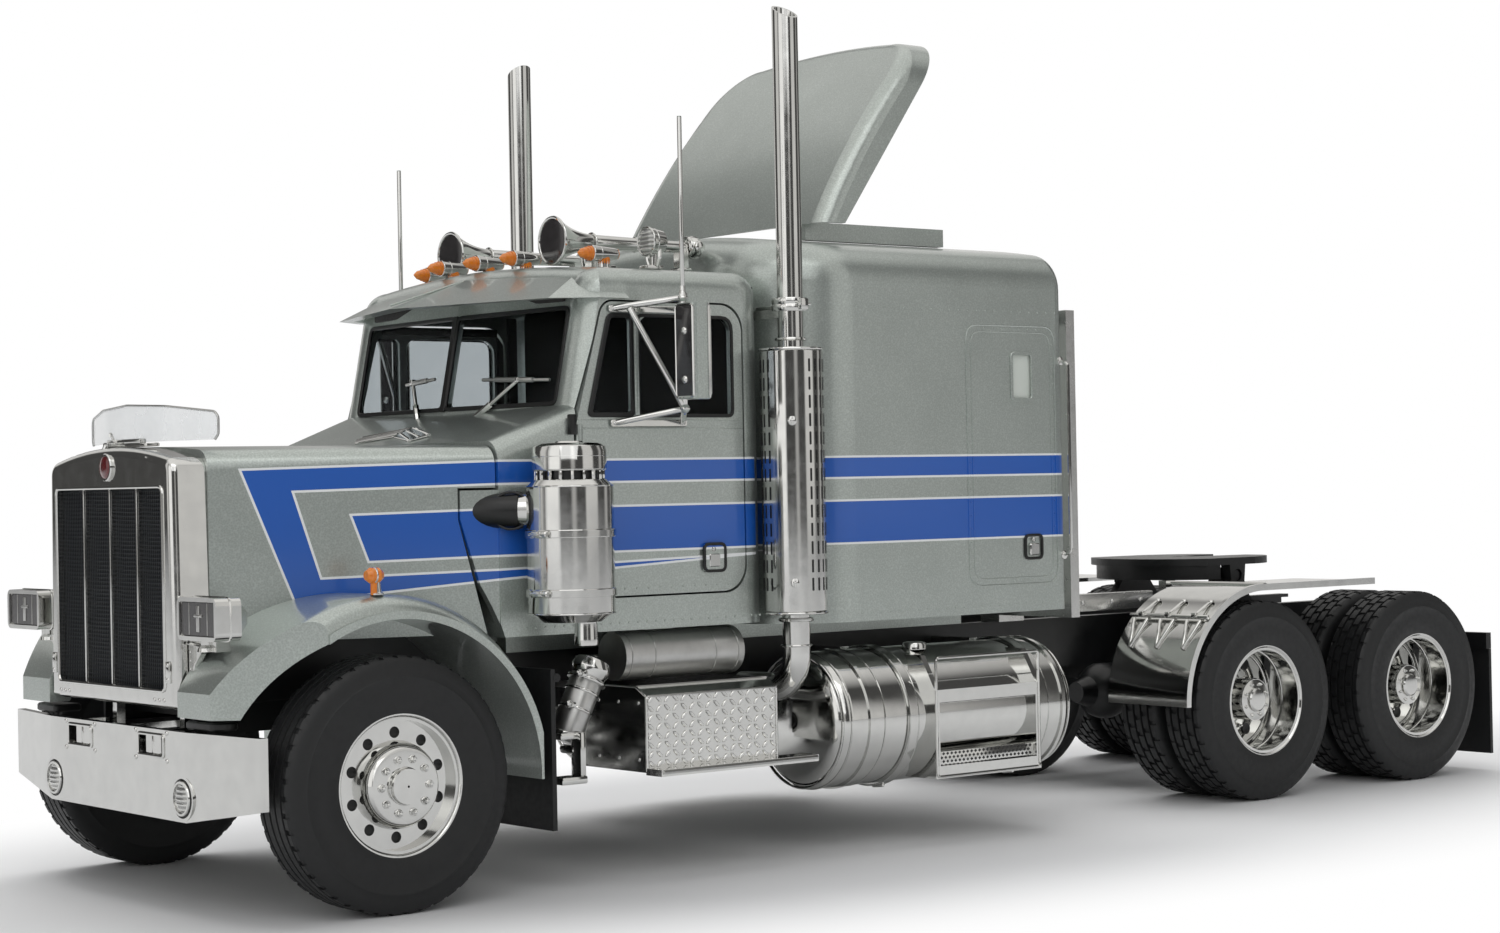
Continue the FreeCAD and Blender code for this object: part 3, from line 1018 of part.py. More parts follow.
for i, (x, y, z) in enumerate(((D.beacon_x, ZERO, beacon_z), (D.beacon_x, D.beacon_y, beacon_z),
                               (D.beacon_x, -D.beacon_y, beacon_z), (D.beacon_side_x, D.beacon_side_y,
                                                                     beacon_z),
                               (D.beacon_side_x, -D.beacon_side_y, beacon_z))):
    bullet = turned(f"Beacon{i}", "x", [(-D.beacon_long, ZERO), (ZERO, ZERO), (D.beacon_nose, ZERO,
                                                                               D.beacon_nose * 2),
                                       (D.beacon_nose * 0.7, D.beacon_r * 0.6), (ZERO, D.beacon_r),
                                       (-D.beacon_long, D.beacon_r * 0.7)], (x, y, z))
    base = rod(f"BeaconFoot{i}", "z", D.beacon_r * 0.8, (x - D.beacon_long / 2, y,
                                                         D.roof_edge - D.beacon_foot),
               z - D.roof_edge + D.beacon_foot)
    lamps += [bullet, base]
node("roof_lamps", cut("Beacons", fuse("BeaconSet", *lamps), cab_outer))
spot_z = D.roof_crown + D.spot_rise
spot = [turned("SpotCan", "x", [(-D.spot_long - D.spot_back_r, ZERO), (ZERO, ZERO), (ZERO, D.spot_r),
                                (-D.spot_long, D.spot_r * 0.8), (-D.spot_long - D.spot_back_r,
                                                                 D.spot_r * 0.4)],
               (D.spot_x, D.spot_y, spot_z)),
        rod("SpotStem", "z", D.tie_r, (D.spot_x - D.spot_long / 2, D.spot_y, D.roof_edge),
            spot_z - D.roof_edge)]
node("spotlight", cut("Spotlight", fuse("Spot", *spot), cab_outer))


# Exhaust: a pipe bending out from under the cab, a shielded silencer and an open stack cut on a slant.
stack_y = D.cab_half + D.stack_out


def exhaust(name):
    x, y = D.stack_x, stack_y
    shield = rod(name + "Shield", "z", D.shield_r - D.shield_wall, (x, y, D.shield_low),
                 D.shield_high - D.shield_low)
    skin = rod(name + "Skin", "z", D.shield_r, (x, y, D.shield_low + D.shield_wall),
               D.shield_high - D.shield_low - D.shield_wall * 2)
    pipe = rod(name + "Pipe", "z", D.stack_r, (x, y, D.shield_high - D.slip), D.stack_top - D.shield_high)
    collar = rod(name + "Collar", "z", D.collar_r, (x, y, D.collar_z), D.collar_high)
    lower = rod(name + "Lower", "z", D.stack_low_r, (x, y, D.stack_bend_z),
                D.shield_low - D.stack_bend_z + D.slip)
    bend = doc.addObject("Part::Torus", name + "Bend")
    bind(bend, "Radius1", D.stack_bend_r)
    bind(bend, "Radius2", D.stack_low_r)
    bend.Angle3 = 90
    bend.Placement = FreeCAD.Placement(V(), FreeCAD.Rotation(V(0, 1, 0), V(0, 0, -1), V(-1, 0, 0), "XYZ"))
    place(bend, x, y - D.stack_bend_r, D.stack_bend_z)
    inlet = rod(name + "Inlet", "y", D.stack_low_r, (x, D.stack_in_y, D.stack_bend_z - D.stack_bend_r),
                y - D.stack_bend_r - D.stack_in_y)
    bore = rod(name + "Bore", "z", D.stack_r - D.stack_wall, (x, y, D.stack_top - D.stack_slant * 4),
               D.stack_slant * 5)
    slant = [(y - D.stack_r * 2, D.stack_top), (y + D.stack_r, D.stack_top - D.stack_slant),
             (y + D.stack_r * 2, D.stack_top + D.overrun)]
    lid = pad(name + "Slant", "x", slant, x - D.stack_r * 2, x + D.stack_r * 2)
    bracket = box(name + "Bracket", (D.sleeper_front + D.slip * 2, D.cab_rear - D.slip * 2),
                  (D.cab_half - D.cab_corner * 1.5, y), (D.collar_z - D.collar_high, D.collar_z))
    return cut(name, fuse(name + "Solid", shield, skin, pipe, collar, lower, bend, inlet, bracket), bore, lid)


node("exhaust_stacks", *pair(exhaust("Exhaust")))


# Air cleaners on the cowl sides, with the intake ducts that run in behind the hood.
cleaner_y = D.cab_half + D.cleaner_out


def cleaner(name):
    r, cap_r = D.cleaner_r, D.cleaner_cap_r
    lip = D.cleaner_rim
    rows = [(D.cleaner_low, ZERO), (D.cleaner_low, r - lip * 2), (D.cleaner_low + lip * 1.4, r),
            (D.cleaner_high - lip, r),
            (D.cleaner_high, r - lip), (D.cleaner_high, D.cleaner_neck_r), (D.cleaner_cap_low,
                                                                            D.cleaner_neck_r),
            (D.cleaner_cap_low, cap_r), (D.cleaner_cap_high - lip * 2, cap_r), (D.cleaner_cap_high,
                                                                                cap_r - lip * 2),
            (D.cleaner_cap_high, ZERO)]
    can = turned(name + "Can", "z", rows, (D.cleaner_x, cleaner_y, ZERO))
    bands = [rod(name + f"Band{i}", "z", r + D.cleaner_band, (D.cleaner_x, cleaner_y, z), D.cleaner_band_w)
             for i, z in enumerate((D.cleaner_band_top, D.cleaner_band_low))]
    outlet = rod(name + "Outlet", "z", D.cleaner_out_r, (D.cleaner_out_x, cleaner_y, D.cleaner_out_low),
                 D.cleaner_low - D.cleaner_out_low + lip)
    duct = strut(name + "Duct", D.intake_r, (D.intake_x, D.intake_y, D.intake_z), (D.cleaner_x, cleaner_y,
                                                                                   D.intake_z))
    return fuse(name, can, *bands, outlet, duct)


duct_rear, duct_front = D.cowl_x - D.cab_wall, D.hood_cut_x + D.intake_r
behind_cheek = [(duct_rear, D.hood_front_half), (duct_front, D.hood_front_half),
                (duct_front, flank_y(duct_front) + D.slip), (duct_rear, flank_y(duct_rear) + D.slip)]
duct_end = pad("DuctEnd", "z", behind_cheek, D.cleaner_low, D.hood_ledge)
node("air_cleaners", *pair(cut("CleanerClear", cleaner("Cleaner"), cowl_form("CleanerCowl", -D.slip),
                               duct_end)))


# Fuel tanks with dished ends, beads, straps and hung steps.
def tank(name):
    long = D.tank_front - D.tank_rear
    r, dome = D.tank_r, D.tank_dome
    rows = [(ZERO, ZERO, -bow(r, dome)), (dome, r), (long - dome, r, -bow(r, dome)), (long, ZERO)]
    drum = turned(name + "Drum", "x", rows)
    near = float(r - D.pick_gap)
    soften(drum, name + "Shoulder", D.tank_round, lambda e: e.BoundBox.ZMax > near and not along(e, "x"))
    place(drum, D.tank_rear, D.tank_y, D.tank_z)
    rims = [rod(name + f"Rim{i}", "x", r + D.tank_rim_out, (x, D.tank_y, D.tank_z), D.tank_rim)
            for i, x in enumerate((D.tank_front - D.tank_rim_in, D.tank_rear + D.tank_round))]
    straps = [rod(name + f"Strap{i}", "x", r + D.strap_t, (x - D.strap_w / 2, D.tank_y, D.tank_z), D.strap_w)
              for i, x in enumerate((D.strap_a, D.strap_b))]
    bracket = [box(name + f"Bracket{i}", (x - D.strap_w / 2, x + D.strap_w / 2), (D.rail_y + D.slip,
                                                                                  D.tank_y - r / 2),
                   (rail_low + D.rail_t, D.tank_z + r)) for i, x in enumerate((D.strap_a, D.strap_b))]
    t = D.tank_step_t
    low, high, out = D.tank_step_low, D.tank_step_high, D.tank_step_out
    rungs = [box(name + f"Rung{i}", (D.tank_step_rear, D.tank_step_front), (y, out), (z, z + deep))
             for i, (y, z, deep) in enumerate(((D.tank_y + r * 0.5, low, t), (out - t / 2, low, t * 2),
                                               (out - t / 2, high - r / 2 - t * 2, t * 2)))]
    line = [(D.tank_y, low), (out, low), (out, high - r / 2), (D.tank_y + r * 0.8, high), (D.tank_y, high)]
    sides = [pad(name + f"Side{i}", "x", line, x, x + t) for i,
             x in enumerate((D.tank_step_rear, D.tank_step_front - t))]
    return fuse(name, drum, *rims, *straps, *bracket, *rungs, *sides)


node("fuel_tanks", *pair(tank("Tank")))

# Tread-plate boxes with a step under each door, air tanks above them and a canister ahead.
chest = pad("Chest", "x", [(D.box_in, D.box_low), (D.box_out, D.box_low), (D.box_out,
                                                                           D.box_high - D.box_slope / 2),
                           (D.box_out - D.box_slope, D.box_high), (D.box_in, D.box_high)], D.box_rear,
                           D.box_front)
tread = box("Tread", (D.step_rear, D.box_front), (D.box_out - D.slip, D.step_out), (D.step_z - D.step_t,
                                                                                    D.step_z))
arm = box("ChestArm", (D.box_rear + D.step_t, D.box_front - D.step_t), (D.rail_y + D.slip, D.box_in + D.slip),
          (rail_low + D.rail_t, D.box_high - D.step_t))
node("step_boxes", *pair(fuse("StepBox", chest, tread, arm)))
vessel = rod("AirTank", "x", D.air_tank_r, (D.air_tank_rear, D.air_tank_y, D.air_tank_z),
             D.air_tank_front - D.air_tank_rear)
clip = box("AirTankClip", (D.air_tank_rear + D.step_t * 3, D.air_tank_front - D.step_t * 3),
           (D.rail_y + D.slip, D.air_tank_y), (D.air_tank_z - D.step_t * 2, D.rail_top - D.step_t))
can = strut("Canister", D.canister_r, (D.canister_top_x, D.canister_y, D.canister_top_z),
            (D.canister_low_x, D.canister_y, D.canister_low_z))
can_arm = box("CanisterArm", (D.canister_top_x, D.canister_top_x + D.step_t), (D.rail_y + D.slip,
                                                                               D.canister_y),
              (D.canister_top_z - D.step_t * 3, D.canister_top_z - D.step_t * 2))
can_top = ball("CanisterTop", D.canister_r, (D.canister_top_x, D.canister_y, D.canister_top_z))
node("air_tanks", *pair(fuse("AirTankSet", vessel, clip)), *pair(fuse("CanisterSet", can, can_top, can_arm)))

# Rack behind the sleeper, standing on the frame.
post = box("RackPost", (D.rack_x, D.rack_x + D.rack_t), (D.rack_half - D.rack_post, D.rack_half),
           (D.rack_low, D.rack_high))
bars = [box(f"RackBar{i}", (D.rack_x, D.rack_x + D.rack_t), (-D.rack_half, D.rack_half), (z, z + D.rack_post))
        for i, z in enumerate((D.rack_low, D.rack_high - D.rack_post))]
foot = box("RackFoot", (D.rack_x - D.rack_t * 2, D.rack_x + D.rack_t), (D.rail_y - D.rail_w,
                                                                        D.rail_y + D.rack_post),
           (D.rail_top + D.slip, D.rack_low + D.rack_post / 2))
node("rear_rack", fuse("Rack", post, mirror(post), *bars, foot, mirror(foot)))

# Quarter fenders over the front of the twin axles: a turned arc and a flat with a rolled outer edge, on bars.
outer_r = D.quarter_r + D.quarter_t
lip_y = D.quarter_out - D.quarter_lip_w
edge_line = [(D.quarter_in, D.quarter_r), (D.quarter_out, D.quarter_r), (D.quarter_out,
                                                                         outer_r + D.quarter_lip),
             (lip_y, outer_r + D.quarter_lip), (lip_y, outer_r), (D.quarter_in, outer_r)]
ring = turned("QuarterRing", "y", edge_line, (rear_x, ZERO, axle_z))
sector = box("QuarterSector", (rear_x, rear_x + outer_r * 2), (D.quarter_in - D.overrun,
                                                               D.quarter_out + D.overrun),
             (axle_z, axle_z + outer_r * 2))
flat = pad("QuarterFlat", "x", [(y, z + axle_z) for y, z in edge_line], D.quarter_rear, rear_x)
stay = rod("QuarterStay", "y", D.tie_r, (rear_x - D.tie_r * 2, D.rail_y + D.slip, axle_z + outer_r),
           lip_y - D.rail_y)
stay_foot = box("QuarterFoot", (rear_x - D.tie_r * 4, rear_x),
                (D.rail_y + D.slip, D.rail_y + D.tie_r * 3), (D.rail_top - D.rail_w,
                                                              axle_z + outer_r + D.tie_r))
node("quarter_fenders", *pair(fuse("Quarter", common("QuarterArc", ring, sector), flat, stay, stay_foot)))

# Mud flaps behind the front wheels and at the tail.
rear_flap = box("RearFlap", (D.flap_x, D.flap_x + D.flap_t), (D.flap_in, D.flap_out), (D.flap_low,
                                                                                       D.flap_high - D.slip))
front_flap = box("FrontFlap", (D.front_flap_x, D.front_flap_x + D.flap_t), (D.front_flap_in,
                                                                            D.front_flap_out),
                 (D.front_flap_low, D.front_flap_high))
flap_bar = rod("FlapBar", "y", D.tie_r, (D.front_flap_x - D.tie_r / 2, D.rail_y + D.slip,
                                         D.front_flap_high - D.tie_r * 2),
               D.front_flap_out - D.rail_y)
node("mud_flaps", *pair(rear_flap, fuse("FrontFlapSet", front_flap, flap_bar)))

# Fifth wheel: two pivot stands on the frame and a tilting plate with a kingpin throat.
stand_top = D.fifth_pivot_z + D.fifth_pin_r * 1.4
stand = pad("Stand", "y", [(D.fifth_x - D.fifth_base_half, D.rail_top + D.slip),
                           (D.fifth_x + D.fifth_base_half, D.rail_top + D.slip),
                           (D.fifth_x + D.fifth_pin_r * 1.8, stand_top),
                           (D.fifth_x - D.fifth_pin_r * 1.8, stand_top)],
            D.fifth_lug_y - D.fifth_lug_t, D.fifth_lug_y)
pin = rod("StandPin", "y", D.fifth_pin_r, (D.fifth_x, D.fifth_lug_y - D.slip, D.fifth_pivot_z),
          D.fifth_lug_t + D.seat_gap * 2)
plinth = box("DeckPlate", (D.fifth_x - D.fifth_base_half * 1.6, D.fifth_x + D.fifth_base_half * 1.6),
           (D.rail_y - D.rail_w, D.rail_y), (D.rail_top, D.rail_top + D.slip * 4))
node("fifth_wheel_base", *pair(fuse("StandSet", stand, pin, plinth)))
half_long = D.fifth_long / 2


def plate_line(s):
    """Outline of the fifth wheel, drawn in by s: a rounded nose, two tail lobes and the throat."""
    nose = D.fifth_x + half_long - s
    flank = nose - D.fifth_nose
    half = D.fifth_half - s
    tail = D.fifth_x - half_long + s
    lobe = D.fifth_lobe
    throat = D.throat_half + s
    slot = D.kingpin_r * 2 + s
    deep = D.fifth_x - D.kingpin_r * 3 - s
    bend_x = D.fifth_x - half_long + D.fifth_tail
    return [(flank, -half, bow(half, D.fifth_nose)), (flank, half), (bend_x, half, lobe * 1.6),
            (tail, half * 0.55),
            (tail, throat), (deep, slot), (deep, -slot), (tail, -throat), (tail, -half * 0.55, lobe * 1.6),
            (bend_x, -half)]


top_plate = pad("FifthPlate", "z", plate_line(ZERO), D.fifth_z - D.fifth_t, D.fifth_z)
pocket(top_plate, "Kingpin", "z", [], D.fifth_z - D.fifth_t * 2, D.fifth_z + D.fifth_t,
       [((D.fifth_x, ZERO), D.kingpin_r)])
skirt_top = D.fifth_z - D.fifth_t + D.slip
skirt_low = D.fifth_z - D.fifth_t - D.fifth_skirt
skirt = cut("FifthSkirt", pad("SkirtOuter", "z", plate_line(D.fifth_skirt_in), skirt_low, skirt_top),
            pad("SkirtInner", "z", plate_line(D.fifth_skirt_in + D.fifth_skirt_t), skirt_low - D.overrun,
                skirt_top + D.overrun),
            box("SkirtTail", (D.fifth_x - D.fifth_long, D.fifth_x + D.fifth_pin_r * 4),
                both(None, D.fifth_half * 2),
                (skirt_low - D.overrun, skirt_top + D.overrun)))
ear_in = D.fifth_lug_y + D.seat_gap
ear = pad("PlateEar", "y", [(D.fifth_x - D.fifth_pin_r * 2.2, D.fifth_z - D.fifth_t + D.slip),
                            (D.fifth_x - D.fifth_pin_r * 1.8, D.fifth_pivot_z - D.fifth_pin_r * 1.8),
                            (D.fifth_x + D.fifth_pin_r * 1.8, D.fifth_pivot_z - D.fifth_pin_r * 1.8),
                            (D.fifth_x + D.fifth_pin_r * 2.2, D.fifth_z - D.fifth_t + D.slip)], ear_in,
                            D.fifth_half)
ear_hole = rod("EarHole", "y", D.fifth_pin_r + D.fifth_pin_fit, (D.fifth_x, ear_in - D.seat_gap,
                                                                 D.fifth_pivot_z),
               D.fifth_lug_t + D.overrun)
ear_bored = cut("EarBored", ear, ear_hole)
node("fifth_wheel_plate", fuse("FifthWheel", top_plate, skirt, ear_bored, mirror(ear_bored)))


# Hood: lofted between crowned sections at the nose and the cowl, its long edges rounded, hollow underneath.
hood_end = D.cowl_x + D.hood_gap
hood_rear_half = D.cab_half - D.hood_inset


def hood_section(half, low, s):
    """A crowned section of the hood with rounded shoulders, drawn in by s."""
    side, edge, r = half - s, D.hood_edge_z - s, D.hood_round - s
    crown = bow(side - r, D.hood_crown - D.hood_edge_z)
    return [(-side, low), (side, low), (side, edge - r, r), (side - r, edge, crown), (-side + r, edge, r),
            (-side, edge - r)]


def hood_form(name, low, s, over):
    """The hood's form between its ends, drawn in by s and run past both ends by over."""
    rear = hood_section(hood_rear_half, low, s)
    return loft(name, "x", [(hood_end - over, rear), (D.hood_front + over, hood_section(D.hood_front_half,
                                                                                        low, s))])


hood_outer = hood_form("HoodOuter", D.hood_low, ZERO, ZERO)
hood_inner = hood_form("HoodInner", D.hood_low - D.overrun, D.hood_wall, D.slip)
notch_line = [(hood_end - D.overrun, D.hood_low - D.overrun), (D.hood_cut_low_x, D.hood_low - D.overrun),
              (D.hood_cut_x, D.hood_cut_z), (D.hood_cut_x, D.hood_ledge), (hood_end - D.overrun,
                                                                           D.hood_ledge)]
notch = pad("HoodNotch", "y", notch_line, -D.cab_half - D.overrun, D.cab_half + D.overrun)
node("hood", cut("Hood", hood_outer, hood_inner, notch))

# Front fenders: an arch between two offset circles with a rounded shoulder, a rolled lip and a drawn-in nose.
arch_z = D.tyre_r
solid_arch = turned("FenderDisc", "y", [(D.fender_y_in, ZERO), (D.fender_y_out, ZERO), (D.fender_y_out,
                                                                                        D.fender_r),
                                        (D.fender_y_in, D.fender_r)])
flank, crest = float(D.fender_y_out - D.pick_gap), float(D.fender_r - D.pick_gap)
soften(solid_arch, "FenderShoulder", D.fender_round,
       lambda e: e.BoundBox.YMin > flank and e.BoundBox.ZMax > crest)
place(solid_arch, D.fender_x, ZERO, arch_z)
lip_in = D.fender_y_out - D.fender_lip
lip_out = D.fender_y_out + D.fender_lip_out
arch_lip = turned("FenderLip", "y", [(lip_in, D.arch_r), (lip_out, D.arch_r),
                                     (lip_out, D.arch_r + D.fender_lip),
                                     (lip_in, D.arch_r + D.fender_lip)], (D.arch_x, ZERO, arch_z))
hole = rod("FenderArch", "y", D.arch_r, (D.arch_x, D.fender_y_in - D.overrun, arch_z),
           D.fender_y_out - D.fender_y_in + D.overrun * 2)
plan = [(D.fender_rear_x, D.fender_y_in), (D.fender_rear_x, D.fender_y_out + D.overrun),
        (D.shell_x - D.fender_nose_back, D.fender_y_out + D.overrun), (D.shell_x - D.fender_nose_back,
                                                                       D.fender_y_out),
        (D.shell_x, D.fender_y_out - D.fender_nose_in), (D.shell_x, D.fender_y_in)]
window = pad("FenderPlan", "z", plan, D.fender_end_z, D.fender_r * 2)
low_nose = box("FenderNoseClear", (ZERO, D.fender_r * 2), (ZERO, D.fender_y_out + D.overrun),
               (ZERO, D.fender_front_z))
trimmed = common("FenderTrim", fuse("FenderWhole", solid_arch, arch_lip), window)
fender = cut("Fender", trimmed, hole, low_nose, hood_form("FenderHoodClear", D.hood_low - D.slip, -D.slip,
                                                          D.slip))
node("front_fenders", *pair(fender))


# Grille shell: a deep crowned surround with rounded edges, three upright bars and a screen.
crown_r = bow(D.shell_top_half, D.shell_crown - D.shell_corner_z)
surround = pad("Surround", "x", [(-D.shell_half, D.shell_low), (D.shell_half, D.shell_low),
                                 (D.shell_top_half, D.shell_corner_z, crown_r),
                                 (-D.shell_top_half, D.shell_corner_z)], D.hood_front + D.slip, D.shell_x)
soften(surround, "ShellCorner", D.shell_corner_r,
       lambda e: along(e, "x") and e.BoundBox.ZMin > float(D.open_high))
soften(surround, "ShellFace", D.shell_round, lambda e: e.BoundBox.XMin > float(D.shell_x - D.pick_gap))
mouth = [(-D.open_half, D.open_low), (D.open_half, D.open_low), (D.open_half, D.open_high), (-D.open_half,
                                                                                             D.open_high)]
pocket(surround, "Mouth", "x", mouth, D.hood_front - D.overrun, D.shell_x + D.overrun)
uprights = [box(f"Upright{i}", (D.shell_x - D.screen_back, D.shell_x - D.screen_t), (y - D.bar_t / 2,
                                                                                     y + D.bar_t / 2),
                (D.open_low - D.slip, D.open_high + D.slip)) for i,
                y in enumerate((-D.bar_pitch, ZERO, D.bar_pitch))]
mesh = box("Screen", (D.shell_x - D.screen_back - D.screen_t, D.shell_x - D.screen_back),
           both(None, D.open_half + D.slip), (D.open_low - D.slip, D.open_high + D.slip))
px, pz, eye_r = D.hood_hinge_x, D.hood_hinge_z, D.hood_eye_r
arm_line = [(px, pz - eye_r), (px, pz + eye_r), (px - D.hood_arm_back, pz + eye_r * 1.6),
            (px - D.hood_arm_back, D.shell_low + D.slip), (px - D.hood_arm_back - D.hood_arm_w,
                                                           D.shell_low + D.slip),
            (px - D.hood_arm_back - D.hood_arm_w, pz - eye_r)]
hood_arm = pad("GooseArm", "y", arm_line, D.hood_arm_y, D.hood_arm_y + D.hood_arm_t)
arm_eye = rod("GooseEye", "y", eye_r, (px, D.hood_arm_y, pz), D.hood_arm_t)
arm_foot = box("GooseFoot", (px - D.hood_arm_back - D.hood_arm_w, D.hood_front + D.overrun / 2),
               (D.hood_arm_y, D.hood_arm_y + D.hood_arm_t), (D.shell_low, D.open_low))
arm_bore = rod("GooseBore", "y", D.hood_pin_r + D.hood_pin_fit, (px, D.hood_arm_y - D.overrun, pz),
               D.overrun * 3)
hood_arm = cut("GooseBored", fuse("GooseSolid", hood_arm, arm_eye, arm_foot), arm_bore)
node("grille_shell", fuse("GrilleShell", surround, *uprights, mesh, *pair(hood_arm)))

# Headlamps in cases with rounded corners on arms from the shell, marker lamps on the fenders, bug shield.
def lamp_line(s):
    wide, tall = D.lamp_half_w - s, D.lamp_h / 2 - s
    return [(D.lamp_y - wide, D.lamp_z - tall), (D.lamp_y + wide, D.lamp_z - tall), (D.lamp_y + wide,
                                                                                     D.lamp_z + tall),
            (D.lamp_y - wide, D.lamp_z + tall)]


back_x = D.lamp_x - D.lamp_deep
case = prism("LampCase", "x", lamp_line(ZERO), back_x + D.lamp_back, D.lamp_x, D.lamp_round)
pocket(case, "LampFace", "x", lamp_line(D.lamp_bezel), D.lamp_x - D.lamp_sink, D.lamp_x + D.overrun)
shoulder = loft("LampBack", "x", [(back_x, lamp_line(D.lamp_round * 2)), (back_x + D.lamp_back + D.slip,
                                                                          lamp_line(
    D.lamp_round / 2))])
lamp_arm = box("LampArm", (back_x + D.lamp_arm_t / 2, D.lamp_x - D.lamp_deep / 2), (D.shell_half + D.slip,
                                                                                    D.lamp_y),
               (D.lamp_z - D.lamp_h / 2 - D.lamp_arm_t, D.lamp_z - D.lamp_h / 2 + D.slip))
node("headlamps", *pair(fuse("Headlamp", case, shoulder, lamp_arm)))
marker = fuse("Marker", turned("MarkerLamp", "x", [
    (-D.marker_long / 2, ZERO), (D.marker_long / 2, ZERO), (D.marker_long / 2, D.marker_r * 0.6),
    (D.marker_long / 4, D.marker_r), (-D.marker_long / 4, D.marker_r), (-D.marker_long / 2,
                                                                        D.marker_r * 0.6)],
                            (D.marker_x, D.marker_y, D.marker_z)),
              rod("MarkerStalk", "z", D.marker_stalk_r, (D.marker_x, D.marker_y, arch_z + D.fender_r),
                  D.marker_z - arch_z - D.fender_r))
node("marker_lamps", *pair(marker))
shield_line = [(D.bug_x, ZERO), (D.bug_x - D.bug_sweep, D.bug_half), (D.bug_x - D.bug_sweep - D.bug_t,
                                                                      D.bug_half),
               (D.bug_x - D.bug_t, ZERO), (D.bug_x - D.bug_sweep - D.bug_t, -D.bug_half),
               (D.bug_x - D.bug_sweep, -D.bug_half)]
shield_face = [(-D.bug_half * 0.75, D.bug_low), (D.bug_half * 0.75, D.bug_low), (D.bug_half, D.bug_side_high),
               (D.bug_half * 0.9, D.bug_high), (-D.bug_half * 0.9, D.bug_high), (-D.bug_half,
                                                                                 D.bug_side_high)]
bug_face = prism("BugFace", "x", shield_face, D.hood_front - D.overrun, D.shell_x, D.bug_round,
                 lambda e: e.BoundBox.ZMin > float(D.bug_high - D.pick_gap))
node("bug_shield", common("BugPane", pad("BugShield", "z", shield_line, D.bug_low, D.bug_high), bug_face))

doc.recompute()
faults = []
for obj in doc.Objects:
    if any(word in ("Invalid", "Error") for word in obj.State):
        faults.append(f"{obj.Name} {obj.State}")
for obj in nodes:
    if obj.Shape.isNull() or not obj.Shape.isValid() or not obj.Shape.Solids:
        faults.append(f"{obj.Label} has no valid shape")
if faults:
    raise RuntimeError("; ".join(faults))
os.makedirs("parts", exist_ok=True)
for obj in nodes:
    obj.Shape.exportStep(f"parts/{obj.Label}.step")
    box_now = obj.Shape.BoundBox
    print(f"{obj.Label:20s} solids {len(obj.Shape.Solids):2d} volume {obj.Shape.Volume:9.1f} "
          f"x {box_now.XMin:7.1f} {box_now.XMax:7.1f} y {box_now.YMin:6.1f} {box_now.YMax:6.1f} "
          f"z {box_now.ZMin:6.1f} {box_now.ZMax:6.1f}")
print(len(nodes), "nodes")
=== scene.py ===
import bpy
import bmesh
import math
from mathutils import Matrix, Vector


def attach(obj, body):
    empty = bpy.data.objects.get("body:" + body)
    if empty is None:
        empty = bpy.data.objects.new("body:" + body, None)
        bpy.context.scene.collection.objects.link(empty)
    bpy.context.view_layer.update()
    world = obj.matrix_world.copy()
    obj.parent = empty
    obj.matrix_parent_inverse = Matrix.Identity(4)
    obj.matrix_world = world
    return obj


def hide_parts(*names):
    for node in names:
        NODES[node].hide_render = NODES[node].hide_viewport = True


bl_info = {
    "name": "Semi truck tractor unit",
    "version": (1, 1, 0),
    "blender": (4, 5, 0),
    "location": "3D View > Sidebar > Truck",
    "description": "Dresses the truck's solids with finishes, trim and small parts",
    "category": "Object",
}

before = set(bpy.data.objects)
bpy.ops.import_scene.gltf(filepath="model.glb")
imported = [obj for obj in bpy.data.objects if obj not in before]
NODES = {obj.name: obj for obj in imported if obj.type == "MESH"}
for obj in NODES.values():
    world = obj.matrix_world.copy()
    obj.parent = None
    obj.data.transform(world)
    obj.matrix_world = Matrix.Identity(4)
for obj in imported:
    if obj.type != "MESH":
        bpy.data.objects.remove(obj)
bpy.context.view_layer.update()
MM = 0.001
# Lengths along the truck are counted from the front axle, as in its drawings.
AXLE = 0.13355
FACING = {"x": (0, math.pi / 2, 0), "y": (-math.pi / 2, 0, 0), "z": (0, 0, 0)}
FAR_SIDE = Matrix.Scale(-1, 4, (0, 1, 0))
SIDES = (("left", Matrix()), ("right", FAR_SIDE))
WHEEL_Z = 21.2
REAR_AXLES = (("mid", -214.6), ("rear", -266.7))
# The photo's camera: its place in millimetres, its turns in degrees, and its focal length and width in pixels.
CAMERA_AT = (232.6, 429.9, 69.2)
CAMERA_TURNS = (-128.79, 0.39, -1.11)
FOCAL, PHOTO_WIDTH = 2712, 1500
# Soft lights: name, place and side in metres, power in watts. Metal mirrors all but the top one.
LIGHTS = (("key", (1.1, 1.5, 1.4), 2.2, 15.0), ("nose", (1.8, 0.3, 0.5), 1.4, 2.5),
          ("top", (-0.25, -0.6, 1.4), 1.6, 17.0))
finishes_made = {}


def at(x, y, z):
    """A point in metres from millimetres counted from the front axle."""
    return Vector((x * MM + AXLE, y * MM, z * MM))


def shift(x, y, z):
    """A move in millimetres."""
    return Matrix.Translation(Vector((x, y, z)) * MM)


def on_x(x, low, high):
    """Corners of an upright rectangle across the truck, from two (y, z)."""
    return [(x, *low), (x, high[0], low[1]), (x, *high), (x, low[0], high[1])]


def on_y(y, low, high):
    """Corners of an upright rectangle along the truck, from two (x, z)."""
    return [(a, y, b) for _, a, b in on_x(0, low, high)]


def turn(axis, degrees, centre):
    """A turn about an axis through a point."""
    hub = Matrix.Translation(at(*centre))
    return hub @ Matrix.Rotation(math.radians(degrees), 4, axis.upper()) @ hub.inverted()


